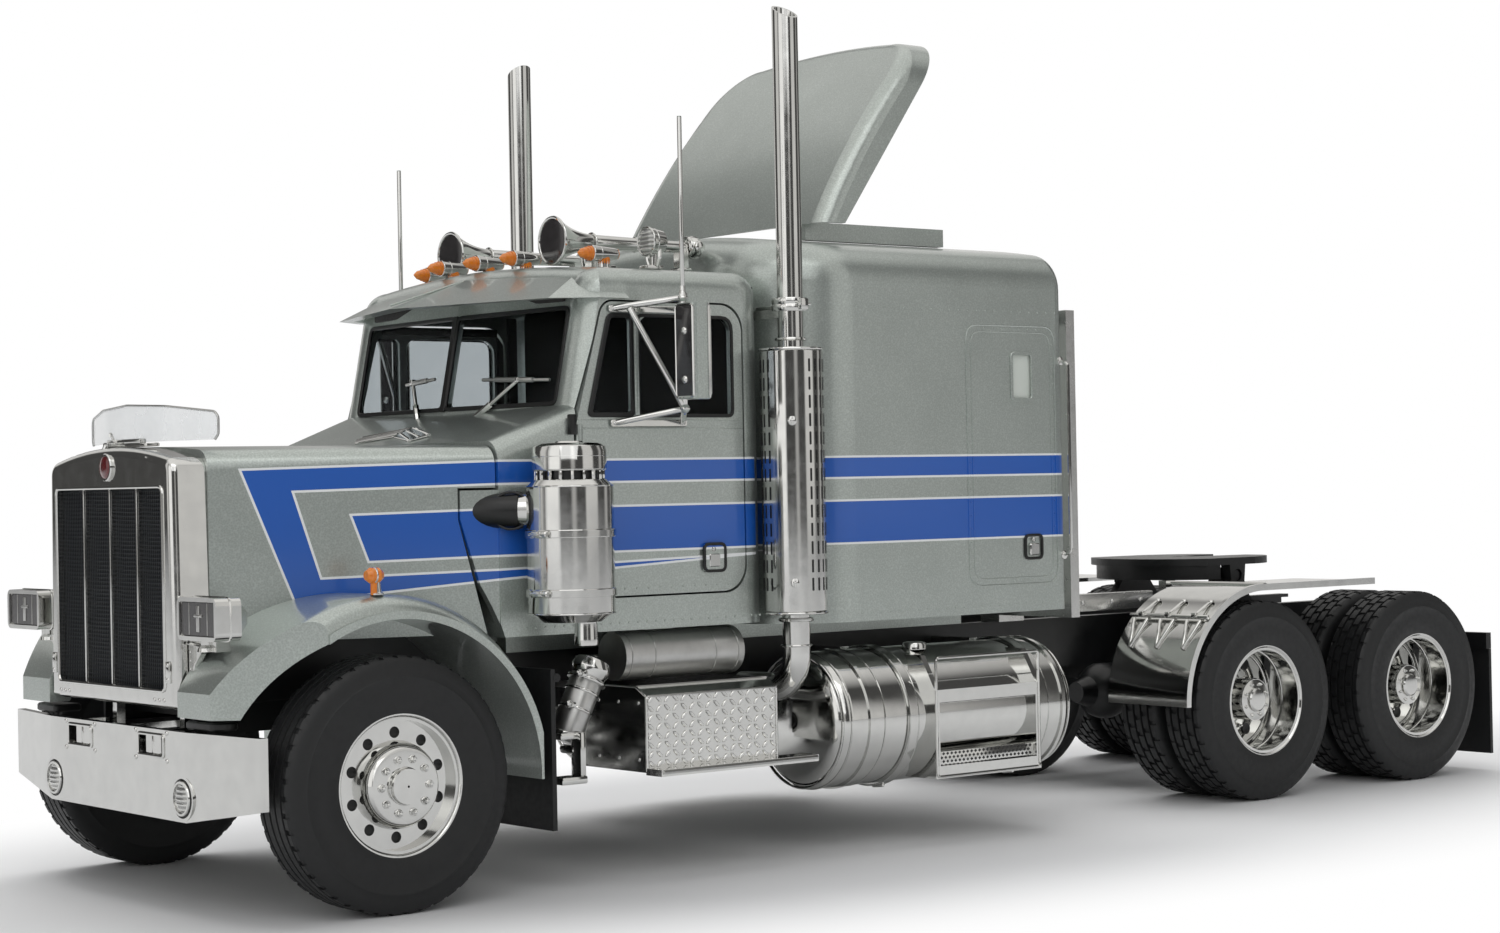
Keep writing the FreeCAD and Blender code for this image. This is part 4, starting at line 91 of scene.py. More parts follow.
# The four rear ends, each with the move that brings a front left piece there.
REAR_ENDS = [(f"{axle}_{side}", move @ shift(x, 0, 0)) for axle, x in REAR_AXLES for side, move in SIDES]


# --- Shaping ---
def fresh():
    """Object mode with nothing selected."""
    if bpy.context.mode != "OBJECT":
        bpy.ops.object.mode_set(mode="OBJECT")
    bpy.ops.object.select_all(action="DESELECT")


def choose(*pieces):
    """Selects these pieces alone."""
    fresh()
    for piece in pieces:
        piece.select_set(True)
    bpy.context.view_layer.objects.active = pieces[0]
    return pieces[0]


def shape(piece, kind="VERT", action="DESELECT"):
    """Opens a piece in edit mode with all or none of it picked."""
    choose(piece)
    bpy.ops.object.mode_set(mode="EDIT")
    bpy.ops.mesh.select_mode(type=kind)
    bpy.ops.mesh.select_all(action=action)


def pick(kind, test):
    """Picks the faces, edges or corners of the open piece that pass a test."""
    bpy.ops.mesh.select_mode(type=kind[:-1].upper())
    form = bmesh.from_edit_mesh(bpy.context.object.data)
    for each in getattr(form, kind):
        each.select_set(bool(test(each)))
    form.select_flush_mode()
    bmesh.update_edit_mesh(bpy.context.object.data)


def close(piece):
    """Merges doubles, turns the faces outwards and leaves edit mode."""
    bpy.ops.mesh.select_all(action="SELECT")
    bpy.ops.mesh.remove_doubles(threshold=MM / 500)
    bpy.ops.mesh.normals_make_consistent(inside=False)
    bpy.ops.object.mode_set(mode="OBJECT")
    return piece


def block(low, high, edge=0.15, steps=2):
    """A block between two corners with its edges rounded."""
    fresh()
    low, high = at(*low), at(*high)
    bpy.ops.mesh.primitive_cube_add(size=1, location=(low + high) / 2, scale=high - low)
    bpy.ops.object.transform_apply()
    piece = bpy.context.object
    shape(piece, "EDGE", "SELECT")
    bpy.ops.mesh.bevel(offset=edge * MM, segments=steps, affect="EDGES")
    return close(piece)


def cube(centre, half):
    """A small rounded cube round a point."""
    return block([c - half for c in centre], [c + half for c in centre], 0.25)


def rod(start, end, radius, steps=16, edge=0.25):
    """A round bar between two points with its ends rounded over."""
    fresh()
    start, end = at(*start), at(*end)
    run = end - start
    bpy.ops.mesh.primitive_cylinder_add(vertices=steps, radius=radius * MM, depth=run.length,
                                        location=(start + end) / 2, rotation=run.to_track_quat("Z", "Y").to_euler())
    bpy.ops.object.transform_apply()
    piece = bpy.context.object
    shape(piece)
    pick("edges", lambda e: any(len(f.verts) > 4 for f in e.link_faces))
    bpy.ops.mesh.bevel(offset=radius * edge * MM, segments=2, affect="EDGES")
    return close(piece)


def turned(axis, centre, rows, steps=48, ring=False):
    """A lathe form: a hoop pulled along an axis and widened row by row. Rows give (along, radius)."""
    fresh()
    centre = at(*centre)
    run = Vector([float(axis == name) for name in "xyz"])
    along, radius = rows[0]
    bpy.ops.mesh.primitive_circle_add(vertices=steps, radius=radius * MM, fill_type="NOTHING",
                                      location=centre + run * along * MM, rotation=FACING[axis])
    bpy.ops.object.transform_apply()
    piece = bpy.context.object
    shape(piece, "EDGE", "SELECT")
    for far, wide in rows[1:] + (rows[:1] if ring else []):
        bpy.ops.mesh.extrude_edges_move(TRANSFORM_OT_translate={"value": run * (far - along) * MM})
        if wide != radius:
            bpy.ops.transform.resize(value=[wide / radius] * 3, center_override=centre + run * far * MM)
        along, radius = far, wide
    if not ring:
        bpy.ops.mesh.select_all(action="SELECT")
        bpy.ops.mesh.fill_holes(sides=0)
    return close(piece)


def eased(points, bend, closed=True, steps=4):
    """The line of points with an arc in place of each corner."""
    spots = [at(*point) for point in points]
    if len(spots) == 2:
        return [spots[0], (spots[0] + spots[1]) / 2, spots[1]]
    made = []
    for i, here in enumerate(spots):
        size = (bend[i] if isinstance(bend, (list, tuple)) else bend) * MM
        if not size or (not closed and i in (0, len(spots) - 1)):
            made.append(here)
            continue
        before, after = (spots[i - 1] - here), (spots[(i + 1) % len(spots)] - here)
        size = min(size, before.length * 0.49, after.length * 0.49)
        first, last = before.normalized() * size, after.normalized() * size
        for k in range(steps + 1):
            s = k / steps
            made.append(here + first * (1 - s) ** 2 + last * s ** 2)
    return made


def outline(points, bend=0.0, face=True, steps=4, closed=True):
    """A line through points in millimetres with its corners rounded, as a face or as edges."""
    spots = eased(points, bend, closed, steps)
    fresh()
    bpy.ops.mesh.primitive_circle_add(vertices=len(spots), radius=MM, fill_type="NGON" if face else "NOTHING")
    piece = bpy.context.object
    rest = [Vector(corner.co) for corner in piece.data.vertices]
    shape(piece)
    for i, spot in enumerate(spots):
        pick("verts", lambda v: v.index == i)
        bpy.ops.transform.translate(value=spot - rest[i])
    if not closed:
        pick("edges", lambda e: {v.index for v in e.verts} == {0, len(spots) - 1})
        bpy.ops.mesh.delete(type="EDGE")
    bpy.ops.object.mode_set(mode="OBJECT")
    return piece


def plate(points, push, bend=0.0, edge=0.1, steps=4):
    """A sheet of an outline pushed along a vector, its edges eased."""
    piece = outline(points, bend, steps=steps)
    shape(piece, "FACE", "SELECT")
    bpy.ops.mesh.extrude_region_move(TRANSFORM_OT_translate={"value": Vector(push) * MM})
    if edge:
        bpy.ops.mesh.select_all(action="SELECT")
        bpy.ops.mesh.normals_make_consistent(inside=False)
        flat = Vector(push).normalized()
        pick("edges", lambda e: abs((e.verts[0].co - e.verts[1].co).normalized().dot(flat)) < 0.9)
        bpy.ops.mesh.bevel(offset=edge * MM, segments=1, affect="EDGES")
    return close(piece)


def surround(points, wide, push, bend=0.0, edge=0.0):
    """A flat frame inside an outline: the face is inset, its middle taken out and the rest pushed out."""
    piece = outline(points, bend)
    shape(piece, "FACE", "SELECT")
    bpy.ops.mesh.inset(thickness=wide * MM, depth=0)
    bpy.ops.mesh.delete(type="FACE")
    bpy.ops.mesh.select_all(action="SELECT")
    bpy.ops.mesh.extrude_region_move(TRANSFORM_OT_translate={"value": Vector(push) * MM})
    if edge:
        flat = Vector(push).normalized()
        pick("edges", lambda e: abs((e.verts[0].co - e.verts[1].co).normalized().dot(flat)) < 0.9
             and sum(abs(f.normal.dot(flat)) > 0.9 for f in e.link_faces) == 1)
        bpy.ops.mesh.bevel(offset=edge * MM, segments=1, affect="EDGES")
    return close(piece)


def bead(points, thick, bend=0.0, closed=True, sides=1, steps=4):
    """A round bead that follows an outline or an open line of points."""
    choose(outline(points, bend, False, steps, closed))
    bpy.ops.object.convert(target="CURVE")
    line = bpy.context.object
    line.data.bevel_depth = thick * MM
    line.data.bevel_resolution = sides
    line.data.use_fill_caps = not closed
    bpy.ops.object.convert(target="MESH")
    shape(bpy.context.object)
    return close(bpy.context.object)


def dome(axis, centre, radius, rise, steps=16):
    """A round head standing on a face; a negative rise turns it round."""
    return turned(axis, centre, [(0, radius), (rise * 0.45, radius * 0.93), (rise * 0.8, radius * 0.68),
                                 (rise, radius * 0.25)], steps)


def hoop(axis, centre, radius, thick, steps=48, rows=8):
    """A round-sectioned ring."""
    angles = [2 * math.pi * i / rows for i in range(rows)]
    return turned(axis, centre, [(thick * math.sin(a), radius + thick * math.cos(a)) for a in angles], steps, True)


def join(pieces):
    """Several pieces made one."""
    pieces = list(pieces)
    choose(*pieces)
    if len(pieces) > 1:
        bpy.ops.object.join()
    return bpy.context.object


def copies(piece, moves):
    """The piece once for each move, each with its own mesh, the piece itself taken away."""
    made = []
    for move in moves:
        twin = piece.copy()
        twin.data = piece.data.copy()
        twin.data.transform(move)
        if move.determinant() < 0:
            twin.data.flip_normals()
        bpy.context.scene.collection.objects.link(twin)
        made.append(twin)
    bpy.data.objects.remove(piece)
    return made


def spread(piece, moves):
    """The piece repeated by each move and joined."""
    return join(copies(piece, moves))


def paint(piece, finish):
    """Gives a piece one finish, made the first time it is asked for."""
    if finish not in finishes_made:
        maker, *values = FINISHES[finish][1:]
        finishes_made[finish] = maker(*values) if callable(maker) else grained(finish, maker, *values)
    piece.data.materials.clear()
    piece.data.materials.append(finishes_made[finish])
    return piece


def settle(piece, name, body, finish, angle=35, slot=None):
    """Finishes a piece: name, smooth faces, finish, and the body it rides on. The slot argument is not used."""
    slot = slot or FINISHES[finish][0]
    choose(piece)
    bpy.ops.object.transform_apply()
    bpy.ops.object.shade_smooth_by_angle(angle=math.radians(angle))
    piece.name = piece.data.name = name
    paint(piece, finish)
    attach(piece, body)
    return piece


def settle_ends(piece, ends, name, body, *how):
    """Settles a copy of a piece at each named end, on the body of that end."""
    twins = copies(piece, [move for _, move in ends])
    return [settle(twin, f"{name}_{end}", f"{body}_{end}", *how) for (end, _), twin in zip(ends, twins)]


def settle_sides(piece, name, body, *how):
    """Settles a left piece and its mirror image, each on the body of its side."""
    return settle_ends(piece, SIDES, name, body, *how)


def settle_both(piece, name, body, *how):
    """Settles a left piece and its mirror image as one piece on one body."""
    return settle(spread(piece, [move for _, move in SIDES]), name, body, *how)


# --- Shader nodes ---
def linear(code):
    """Linear colour from an sRGB hex code."""
    parts = [int(code[i:i + 2], 16) / 255 for i in (1, 3, 5)]
    return tuple(c / 12.92 if c <= 0.04045 else ((c + 0.055) / 1.055) ** 2.4 for c in parts) + (1.0,)


def add(tree, kind, feeds=None, **settings):
    """Adds a shader node, sets its settings, and sets or links its inputs."""
    made = tree.nodes.new("ShaderNode" + kind)
    for key, value in settings.items():
        setattr(made, key, value)
    for key, value in (feeds or {}).items():
        if isinstance(value, bpy.types.NodeSocket):
            tree.links.new(value, made.inputs[key])
        else:
            made.inputs[key].default_value = value
    return made


def calc(tree, operation, *feeds):
    """Result of a sum on sockets or numbers."""
    return add(tree, "Math", dict(enumerate(feeds)), operation=operation).outputs[0]


def blank(name):
    """A material with one surface shader, its tree and its shader."""
    made = bpy.data.materials.new(name)
    made.use_nodes = True
    tree = made.node_tree
    return made, tree, next(n for n in tree.nodes if n.type == "BSDF_PRINCIPLED")


def ramp(tree, source, start, end, first, last, **settings):
    """Result of carrying a value over from one span to another."""
    return add(tree, "MapRange", {0: source, 1: start, 2: end, 3: first, 4: last}, **settings).outputs[0]


def blend(tree, mask, first, second, way="MIX"):
    """Colour between two by a mask."""
    return add(tree, "Mix", {0: mask, 6: first, 7: second}, data_type="RGBA", blend_type=way).outputs[2]


def tint(tree, shader, mask, first, second):
    """Colours the surface between two codes by a mask."""
    tree.links.new(blend(tree, mask, linear(first), linear(second)), shader.inputs["Base Color"])


def relief(tree, shader, height, distance, strength):
    """Small relief in the shading, its height in metres."""
    bump = add(tree, "Bump", {"Height": height, "Distance": distance, "Strength": strength})
    tree.links.new(bump.outputs[0], shader.inputs["Normal"])


def preset(shader, values):
    """Sets the shader's own sockets."""
    for name, value in values.items():
        shader.inputs[name].default_value = value


class TruckColours(bpy.types.PropertyGroup):
    """Colours of the truck's finishes."""
    silver: bpy.props.FloatVectorProperty(name="Lacquer", description="Metallic silver of the bodywork",
                                          subtype="COLOR", size=4, default=linear("#B3BAB5"))
    blue: bpy.props.FloatVectorProperty(name="Stripe", description="Blue of the side stripes", subtype="COLOR",
                                        size=4, default=linear("#1D5CB8"))
    pinstripe: bpy.props.FloatVectorProperty(name="Pinstripe", description="White line round the stripes",
                                             subtype="COLOR", size=4, default=linear("#F2F4F4"))
    floor: bpy.props.FloatVectorProperty(name="Floor", description="Pale floor under the truck", subtype="COLOR",
                                         size=4, default=linear("#F0F0F0"))


class TruckSizes(bpy.types.PropertyGroup):
    """Sizes of the truck's trim."""
    tread: bpy.props.FloatProperty(name="Tread depth", description="Depth of the notches in the tyre shoulders",
                                   subtype="DISTANCE", unit="LENGTH", default=0.28 * MM)
    gasket: bpy.props.FloatProperty(name="Window gasket", description="Width of the black window gaskets",
                                    subtype="DISTANCE", unit="LENGTH", default=0.8 * MM)
    pinstripe: bpy.props.FloatProperty(name="Pinstripe", description="Width of the white line round the stripes",
                                       subtype="DISTANCE", unit="LENGTH", default=0.4 * MM)
    rivet: bpy.props.FloatProperty(name="Rivet", description="Radius of the rivet heads", subtype="DISTANCE",
                                   unit="LENGTH", default=0.3 * MM)


# --- Finishes ---
def grained(name, size, height, low, high, first, second, values=None, veil=None):
    """A finish whose relief, gloss and colour follow one fine grain. Size and height are in millimetres."""
    made, tree, shader = blank(name)
    place = add(tree, "TexCoord").outputs["Object"]
    noise = add(tree, "TexNoise", {"Vector": place, "Scale": 1 / (size * MM), "Detail": 3.0}).outputs[0]
    relief(tree, shader, noise, height * MM, 0.6)
    tree.links.new(ramp(tree, noise, 0.3, 0.7, low, high), shader.inputs["Roughness"])
    tint(tree, shader, noise, first, second)
    preset(shader, values or {})
    if veil:
        tree.links.new(ramp(tree, noise, 0.3, 0.7, *veil), shader.inputs["Alpha"])
    return made


def lacquer(name, striped):
    """Silver metallic lacquer, with the side stripes or without."""
    made, tree, shader = blank(name)
    colours, sizes = bpy.context.scene.truck_colours, bpy.context.scene.truck_sizes
    place = add(tree, "TexCoord").outputs["Object"]
    # Flakes are a few hundredths of a millimetre; drawn at 0.3 mm so that they show.
    flake = add(tree, "TexVoronoi", {"Vector": place, "Scale": 1 / (0.3 * MM)}).outputs["Distance"]
    cloud = add(tree, "TexNoise", {"Vector": place, "Scale": 1 / (14 * MM), "Detail": 4.0}).outputs[0]
    shade = calc(tree, "MULTIPLY", ramp(tree, flake, 0.0, 1.0, 0.8, 1.16), ramp(tree, cloud, 0.3, 0.7, 0.95, 1.04))
    colour = blend(tree, 1.0, tuple(colours.silver), shade, "MULTIPLY")
    preset(shader, {"Roughness": 0.3, "Coat Weight": 0.6, "Coat Roughness": 0.06, "Metallic": 0.7})
    if striped:
        inside = stripes(tree, place)
        line = calc(tree, "GREATER_THAN", inside, -sizes.pinstripe / MM)
        colour = blend(tree, line, colour, tuple(colours.pinstripe))
        colour = blend(tree, calc(tree, "GREATER_THAN", inside, 0.0), colour, tuple(colours.blue))
        tree.links.new(calc(tree, "MULTIPLY", calc(tree, "SUBTRACT", 1.0, line), 0.7), shader.inputs["Metallic"])
    tree.links.new(colour, shader.inputs["Base Color"])
    relief(tree, shader, cloud, 0.02 * MM, 0.3)
    return made


def stripes(tree, place):
    """How far inside the blue bands a place lies, in millimetres; below nought it lies outside."""
    parts = add(tree, "SeparateXYZ", {0: place})
    x = calc(tree, "MULTIPLY_ADD", parts.outputs[0], 1 / MM, -AXLE / MM)
    y = calc(tree, "MULTIPLY", calc(tree, "ABSOLUTE", parts.outputs[1]), 1 / MM)
    z = calc(tree, "MULTIPLY", parts.outputs[2], 1 / MM)

    def line(level, by_x, by_z, high=z):
        """Distance from a straight edge, given by its shares of x and of height."""
        return calc(tree, "MULTIPLY_ADD", x, by_x, calc(tree, "MULTIPLY_ADD", high, by_z, level))

    def least(first, *rest):
        """The smallest of several values."""
        for each in rest:
            first = calc(tree, "MINIMUM", first, each)
        return first

    def most(first, *rest):
        """The largest of several values."""
        for each in rest:
            first = calc(tree, "MAXIMUM", first, each)
        return first

    # The bands drop a little towards the front, where the hood tapers.
    high = calc(tree, "MULTIPLY_ADD", calc(tree, "MAXIMUM", calc(tree, "ADD", x, 25.0), 0.0), 0.02, z)
    front = line(-10.404, -0.937, 0.3495)
    back = line(11.585, 0.959, -0.2819)
    low = most(line(-51.87, 0.0838, 1.0), line(-52.755, 0.049, 1.0))
    under_top = line(74.0, 0.0, -1.0, high)
    upper = least(line(-70.4, 0.0, 1.0, high), under_top, front)
    slant = least(front, back, under_top, low)
    lower = least(front, low, line(54.782, -0.0204, -1.0))
    middle = least(line(-58.05, 0.0, 1.0, high), line(65.75, 0.0, -1.0, high), line(-22.641, -0.945, 0.3279))
    inside = most(upper, slant, lower, middle)
    # The paint stays on the flanks: it ends where the hood narrows, at the cowl's slope and at the sleeper's back.
    flank = calc(tree, "MINIMUM", calc(tree, "MULTIPLY_ADD", x, -1 / 3, 24 + 21.5 / 3), 39.8)
    on_side = calc(tree, "MAXIMUM", calc(tree, "GREATER_THAN", y, calc(tree, "SUBTRACT", flank, 0.6)),
                   calc(tree, "LESS_THAN", x, -86.5))
    on_side = calc(tree, "MULTIPLY", on_side, calc(tree, "GREATER_THAN", x, -160.3))
    return calc(tree, "SUBTRACT", calc(tree, "MULTIPLY", calc(tree, "ADD", inside, 50.0), on_side), 50.0)


def grille_mesh():
    """A black screen whose wires cross at a small pitch; the gaps between the wires are drawn darker, as painted shade.
    """
    made, tree, shader = blank("grille_mesh")
    place = add(tree, "SeparateXYZ", {0: add(tree, "TexCoord").outputs["Object"]})
    weave = calc(tree, "MAXIMUM", *(calc(tree, "SINE", calc(tree, "MULTIPLY", part, 2 * math.pi / (0.7 * MM)))
                                    for part in (place.outputs[1], place.outputs[2])))
    # The gaps come out darker than the wires: painted shade in the openings of the screen.
    tint(tree, shader, weave, "#06080A", "#191D22")
    relief(tree, shader, weave, 0.1 * MM, 0.7)
    preset(shader, {"Roughness": 0.42, "Specular IOR Level": 0.12})
    return made


def lamp_glass():
    """A silvered lens with upright flutes, each flute drawn in a light and a dark band: painted highlight and shade."""
    made, tree, shader = blank("lamp_glass")
    place = add(tree, "SeparateXYZ", {0: add(tree, "TexCoord").outputs["Object"]})
    flute = calc(tree, "SINE", calc(tree, "MULTIPLY", place.outputs[2], 2 * math.pi / (0.8 * MM)))
    # Light and dark bands that follow the flutes: painted highlight and shade.
    tint(tree, shader, calc(tree, "MULTIPLY_ADD", flute, 0.5, 0.5), "#A5A5A3", "#E2E2DF")
    relief(tree, shader, flute, 0.1 * MM, 0.5)
    preset(shader, {"Metallic": 0.7, "Roughness": 0.18})
    return made


def floor_sweep():
    """A faintly gritty board near the truck, plain white light to the camera farther off."""
    made, tree, shader = blank("floor_sweep")
    place = add(tree, "TexCoord").outputs["Object"]
    grit = add(tree, "TexNoise", {"Vector": place, "Scale": 40.0, "Detail": 2.0})
    shade = ramp(tree, grit.outputs[0], 0.3, 0.7, 0.985, 1.0)
    tone = blend(tree, 1.0, tuple(bpy.context.scene.truck_colours.floor), shade, "MULTIPLY")
    tree.links.new(tone, shader.inputs["Base Color"])
    preset(shader, {"Roughness": 0.7, "Specular IOR Level": 0.2})
    away = add(tree, "SeparateXYZ", {0: place})
    # Distance from an oval round the truck, in metres.
    long = calc(tree, "MULTIPLY", away.outputs[0], 0.42)
    reach = calc(tree, "SQRT", calc(tree, "ADD", calc(tree, "MULTIPLY", long, long),
                                    calc(tree, "MULTIPLY", away.outputs[1], away.outputs[1])))
    fade = ramp(tree, reach, 0.075, 0.135, 0.0, 1.0, interpolation_type="SMOOTHSTEP")
    seen = calc(tree, "MULTIPLY", fade, add(tree, "LightPath").outputs["Is Camera Ray"])
    white = add(tree, "Emission", {0: (1.0, 1.0, 1.0, 1.0), 1: 1.0})
    mix = add(tree, "MixShader", {0: seen, 1: shader.outputs[0], 2: white.outputs[0]})
    end = next(n for n in tree.nodes if n.type == "OUTPUT_MATERIAL")
    tree.links.new(mix.outputs[0], end.inputs[0])
    return made


# The slot each finish goes by, then the function that makes it and what that takes, or what grained takes.
FINISHES = {
    # Injection-moulded polystyrene under silver metallic lacquer: grey with fine bright flakes and a clear gloss.
    "silver_lacquer": ("body_paint", lacquer, "silver_lacquer", False),
    # The same lacquer with masked and sprayed blue bands edged in white.
    "striped_lacquer": ("body_paint", lacquer, "silver_lacquer_striped", True),
    # Vacuum-plated plastic: a mirror-bright skin, a little softer and warmer than plated steel.
    "bright_plating": ("chrome", 3, 0.004, 0.06, 0.13, "#DDDDDA", "#CDCDCB", {"Metallic": 1.0}),
    # Plated plastic rubbed down with fine steel wool: bright but blurred.
    "satin_plating": ("chrome", 1.5, 0.002, 0.3, 0.4, "#C9C9C7", "#BBBBB9", {"Metallic": 1.0}),
    # Polished aluminium bar stock: pale and softly bright.
    "polished_bar": ("chrome", 2, 0.001, 0.2, 0.28, "#D8D8D6", "#CBCBC9", {"Metallic": 0.9}),
    # Soft vinyl tyre: near black, satin, with a faint mould bloom.
    "tyre_vinyl": ("tyre", 1.2, 0.03, 0.46, 0.62, "#121314", "#1C1D1E"),
    # Polystyrene moulded in black, left satin as it came from the mould.
    "chassis_black": ("frame_black", 0.8, 0.02, 0.3, 0.44, "#0D0E0F", "#151617"),
    # Brush-painted enamel on the engine, a dull yellow olive.
    "engine_enamel": ("frame_black", 1.0, 0.02, 0.4, 0.55, "#55522A", "#6B6838"),
    # Grained dark vinyl of the seats, the dash and the linings; on the linings it also gives the painted shade inside
    # the cab.
    "interior_vinyl": ("interior", 0.6, 0.03, 0.55, 0.7, "#1D1C1C", "#2A2827"),
    # Clear cast polystyrene: sharp gloss on a nearly colourless sheet.
    "clear_pane": ("glass", 8, 0.002, 0.02, 0.05, "#C3C8CA", "#CDD1D3", {"Transmission Weight": 1.0, "IOR": 1.08}),
    # Thin clear sheet of the bug shield: mostly see-through, with a faint milky sheen.
    "shield_sheet": ("glass", 8, 0.002, 0.04, 0.09, "#DDE2E4", "#E8ECEE", None, (0.28, 0.36)),
    # Milky styrene pane of the sleeper's port: pale from outside, hardly see-through.
    "frosted_pane": ("glass", 5, 0.003, 0.12, 0.2, "#D3DAD2", "#E2E7E0", {"Coat Weight": 0.5}),
    # Transparent orange styrene of the lamps.
    "amber_lens": ("amber", 0.7, 0.03, 0.1, 0.2, "#D96A0C", "#F0911E", {"Coat Weight": 0.6}),
    # Thin black flap rubber with a dull skin.
    "flap_rubber": ("flap_rubber", 1.0, 0.02, 0.42, 0.56, "#111213", "#191A1B"),
    # Black extruded gasket rubber, softly shiny.
    "gasket_rubber": ("flap_rubber", 0.5, 0.01, 0.28, 0.4, "#0A0B0B", "#121313"),
    # Woven wire screen painted black: wires 0.25 mm, drawn at a 0.7 mm pitch so that they show, with the gaps between
    # them drawn darker as painted shade.
    "grille_mesh": ("frame_black", grille_mesh),
    # Grey tinted lamp discs behind a clear skin; the same dark discs fill the horn mouths as painted shade inside the
    # bells.
    "smoked_disc": ("glass", 2, 0.01, 0.12, 0.24, "#262425", "#3A3738", {"Coat Weight": 0.5}),
    # Deep red enamel disc of the generic nose ornament.
    "red_enamel": ("body_paint", 0.8, 0.01, 0.12, 0.2, "#4A0A0E", "#6B1116", {"Coat Weight": 0.8}),
    # Silvered glass with upright flutes, as lamp reflectors show, with painted highlight and shade along each flute.
    "lamp_glass": ("glass", lamp_glass),
    # Matt pale board: it takes the soft shadow near the truck and reads as clean white farther off.
    "floor_sweep": ("floor", floor_sweep),
}


# --- Wheels ---
TYRE_HALF = [(-5.1, 11.7), (-5.4, 12.6), (-5.55, 14), (-5.6, 15.6), (-5.52, 17.3), (-5.62, 17.5), (-5.62, 17.8),
             (-5.5, 18.0), (-5.4, 19), (-5.15, 20.1), (-4.75, 20.85), (-4.3, 21.2)]
RIBS = [(-3.3, 21.2), (-3.2, 20.65), (-2.85, 20.65), (-2.75, 21.2), (-1.25, 21.2), (-1.15, 20.65), (-0.8, 20.65),
        (-0.7, 21.2)]


def tyre(centre, lugged):
    """A tyre turned about its axle, its tread notched."""
    half = TYRE_HALF + RIBS
    steps = 144
    rows = half + [(-a, r) for a, r in reversed(half)] + [(4.4, 11.6), (-4.4, 11.6)]
    piece = turned("y", centre, rows, steps, ring=True)
    hub = at(*centre)

    def spot(face):
        """Place of a face along the axle, its distance from it and its angle round it."""
        here = face.calc_center_median() - hub
        return here.y / MM, math.hypot(here.x, here.z) / MM, math.degrees(math.atan2(here.x, here.z)) % 360

    def notch(face):
        along, far, angle = spot(face)
        step = int(angle / (360 / steps))
        if far < 20.3:
            return False
        if 3.3 < abs(along) < 4.95:
            return step % (4 if lugged else 3) == 0
        lane = 0 if along < -1.2 else 1 if along > 1.2 else 2
        return lugged and far > 21 and step % 4 == (lane + 1) % 4

    shape(piece, "FACE")
    pick("faces", notch)
    bpy.ops.mesh.inset(thickness=0.02 * MM, depth=-bpy.context.scene.truck_sizes.tread, use_even_offset=False)
    bpy.ops.object.mode_set(mode="OBJECT")
    return piece


class OBJECT_OT_truck_tyres(bpy.types.Operator):
    """Adds the tyres: ribbed ones in front, block tread behind"""
    bl_idname = "object.truck_tyres"
    bl_label = "Tyres"

    def execute(self, context):
        front = tyre((0, 43.0, WHEEL_Z), False)
        for (side, _), piece in zip(SIDES, settle_sides(front, "tyre", "wheel_front", "tyre_vinyl", 30)):
            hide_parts(f"tyre_front_{side}")
        twin = spread(tyre((0, 42.5, WHEEL_Z), True), [Matrix(), shift(0, -12.6, 0)])
        ends = [(axle, side) for axle, _ in REAR_AXLES for side, _ in SIDES]
        for (axle, side), piece in zip(ends, settle_ends(twin, REAR_ENDS, "twin_tyres", "wheels", "tyre_vinyl", 30)):
            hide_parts(f"tyres_{axle}_{side}")
        return {"FINISHED"}


def nuts(centre, reach, count, size, proud):
    """A ring of hexagon nuts on washers with stud ends, about an axle."""
    x, y, z = centre
    spot = (x, y, z + reach)
    washer = turned("y", spot, [(-0.3, size * 1.25), (0.14, size * 1.25), (0.2, size * 1.1)], 14)
    nut = turned("y", spot, [(0.05, size), (proud * 0.8, size), (proud, size * 0.8)], 6)
    stud = turned("y", spot, [(0, size * 0.5), (proud * 1.35, size * 0.5), (proud * 1.5, size * 0.35)], 10)
    return spread(join([washer, nut, stud]), [turn("y", 360 * (i + 0.5) / count, centre) for i in range(count)])


def flange(y, top):
    """The rolled edge of a rim; top gives the outer rows of its face."""
    return turned("y", (0, y, WHEEL_Z), [(-0.9, 11.7), (-0.2, 12.05)] + top + [(0.1, 11.2), (-0.5, 11.0), (-0.9, 11.0)],
                  72, True)


def hand_holes(y, radius, deep):
    """Ten dark plugs in a ring: painted shade that reads as the disc's hand holes."""
    hole = turned("y", (0, y, WHEEL_Z + 8.6), [(0, radius), (deep, radius)], 16)
    return spread(hole, [turn("y", 36 * i, (0, y, WHEEL_Z)) for i in range(10)])


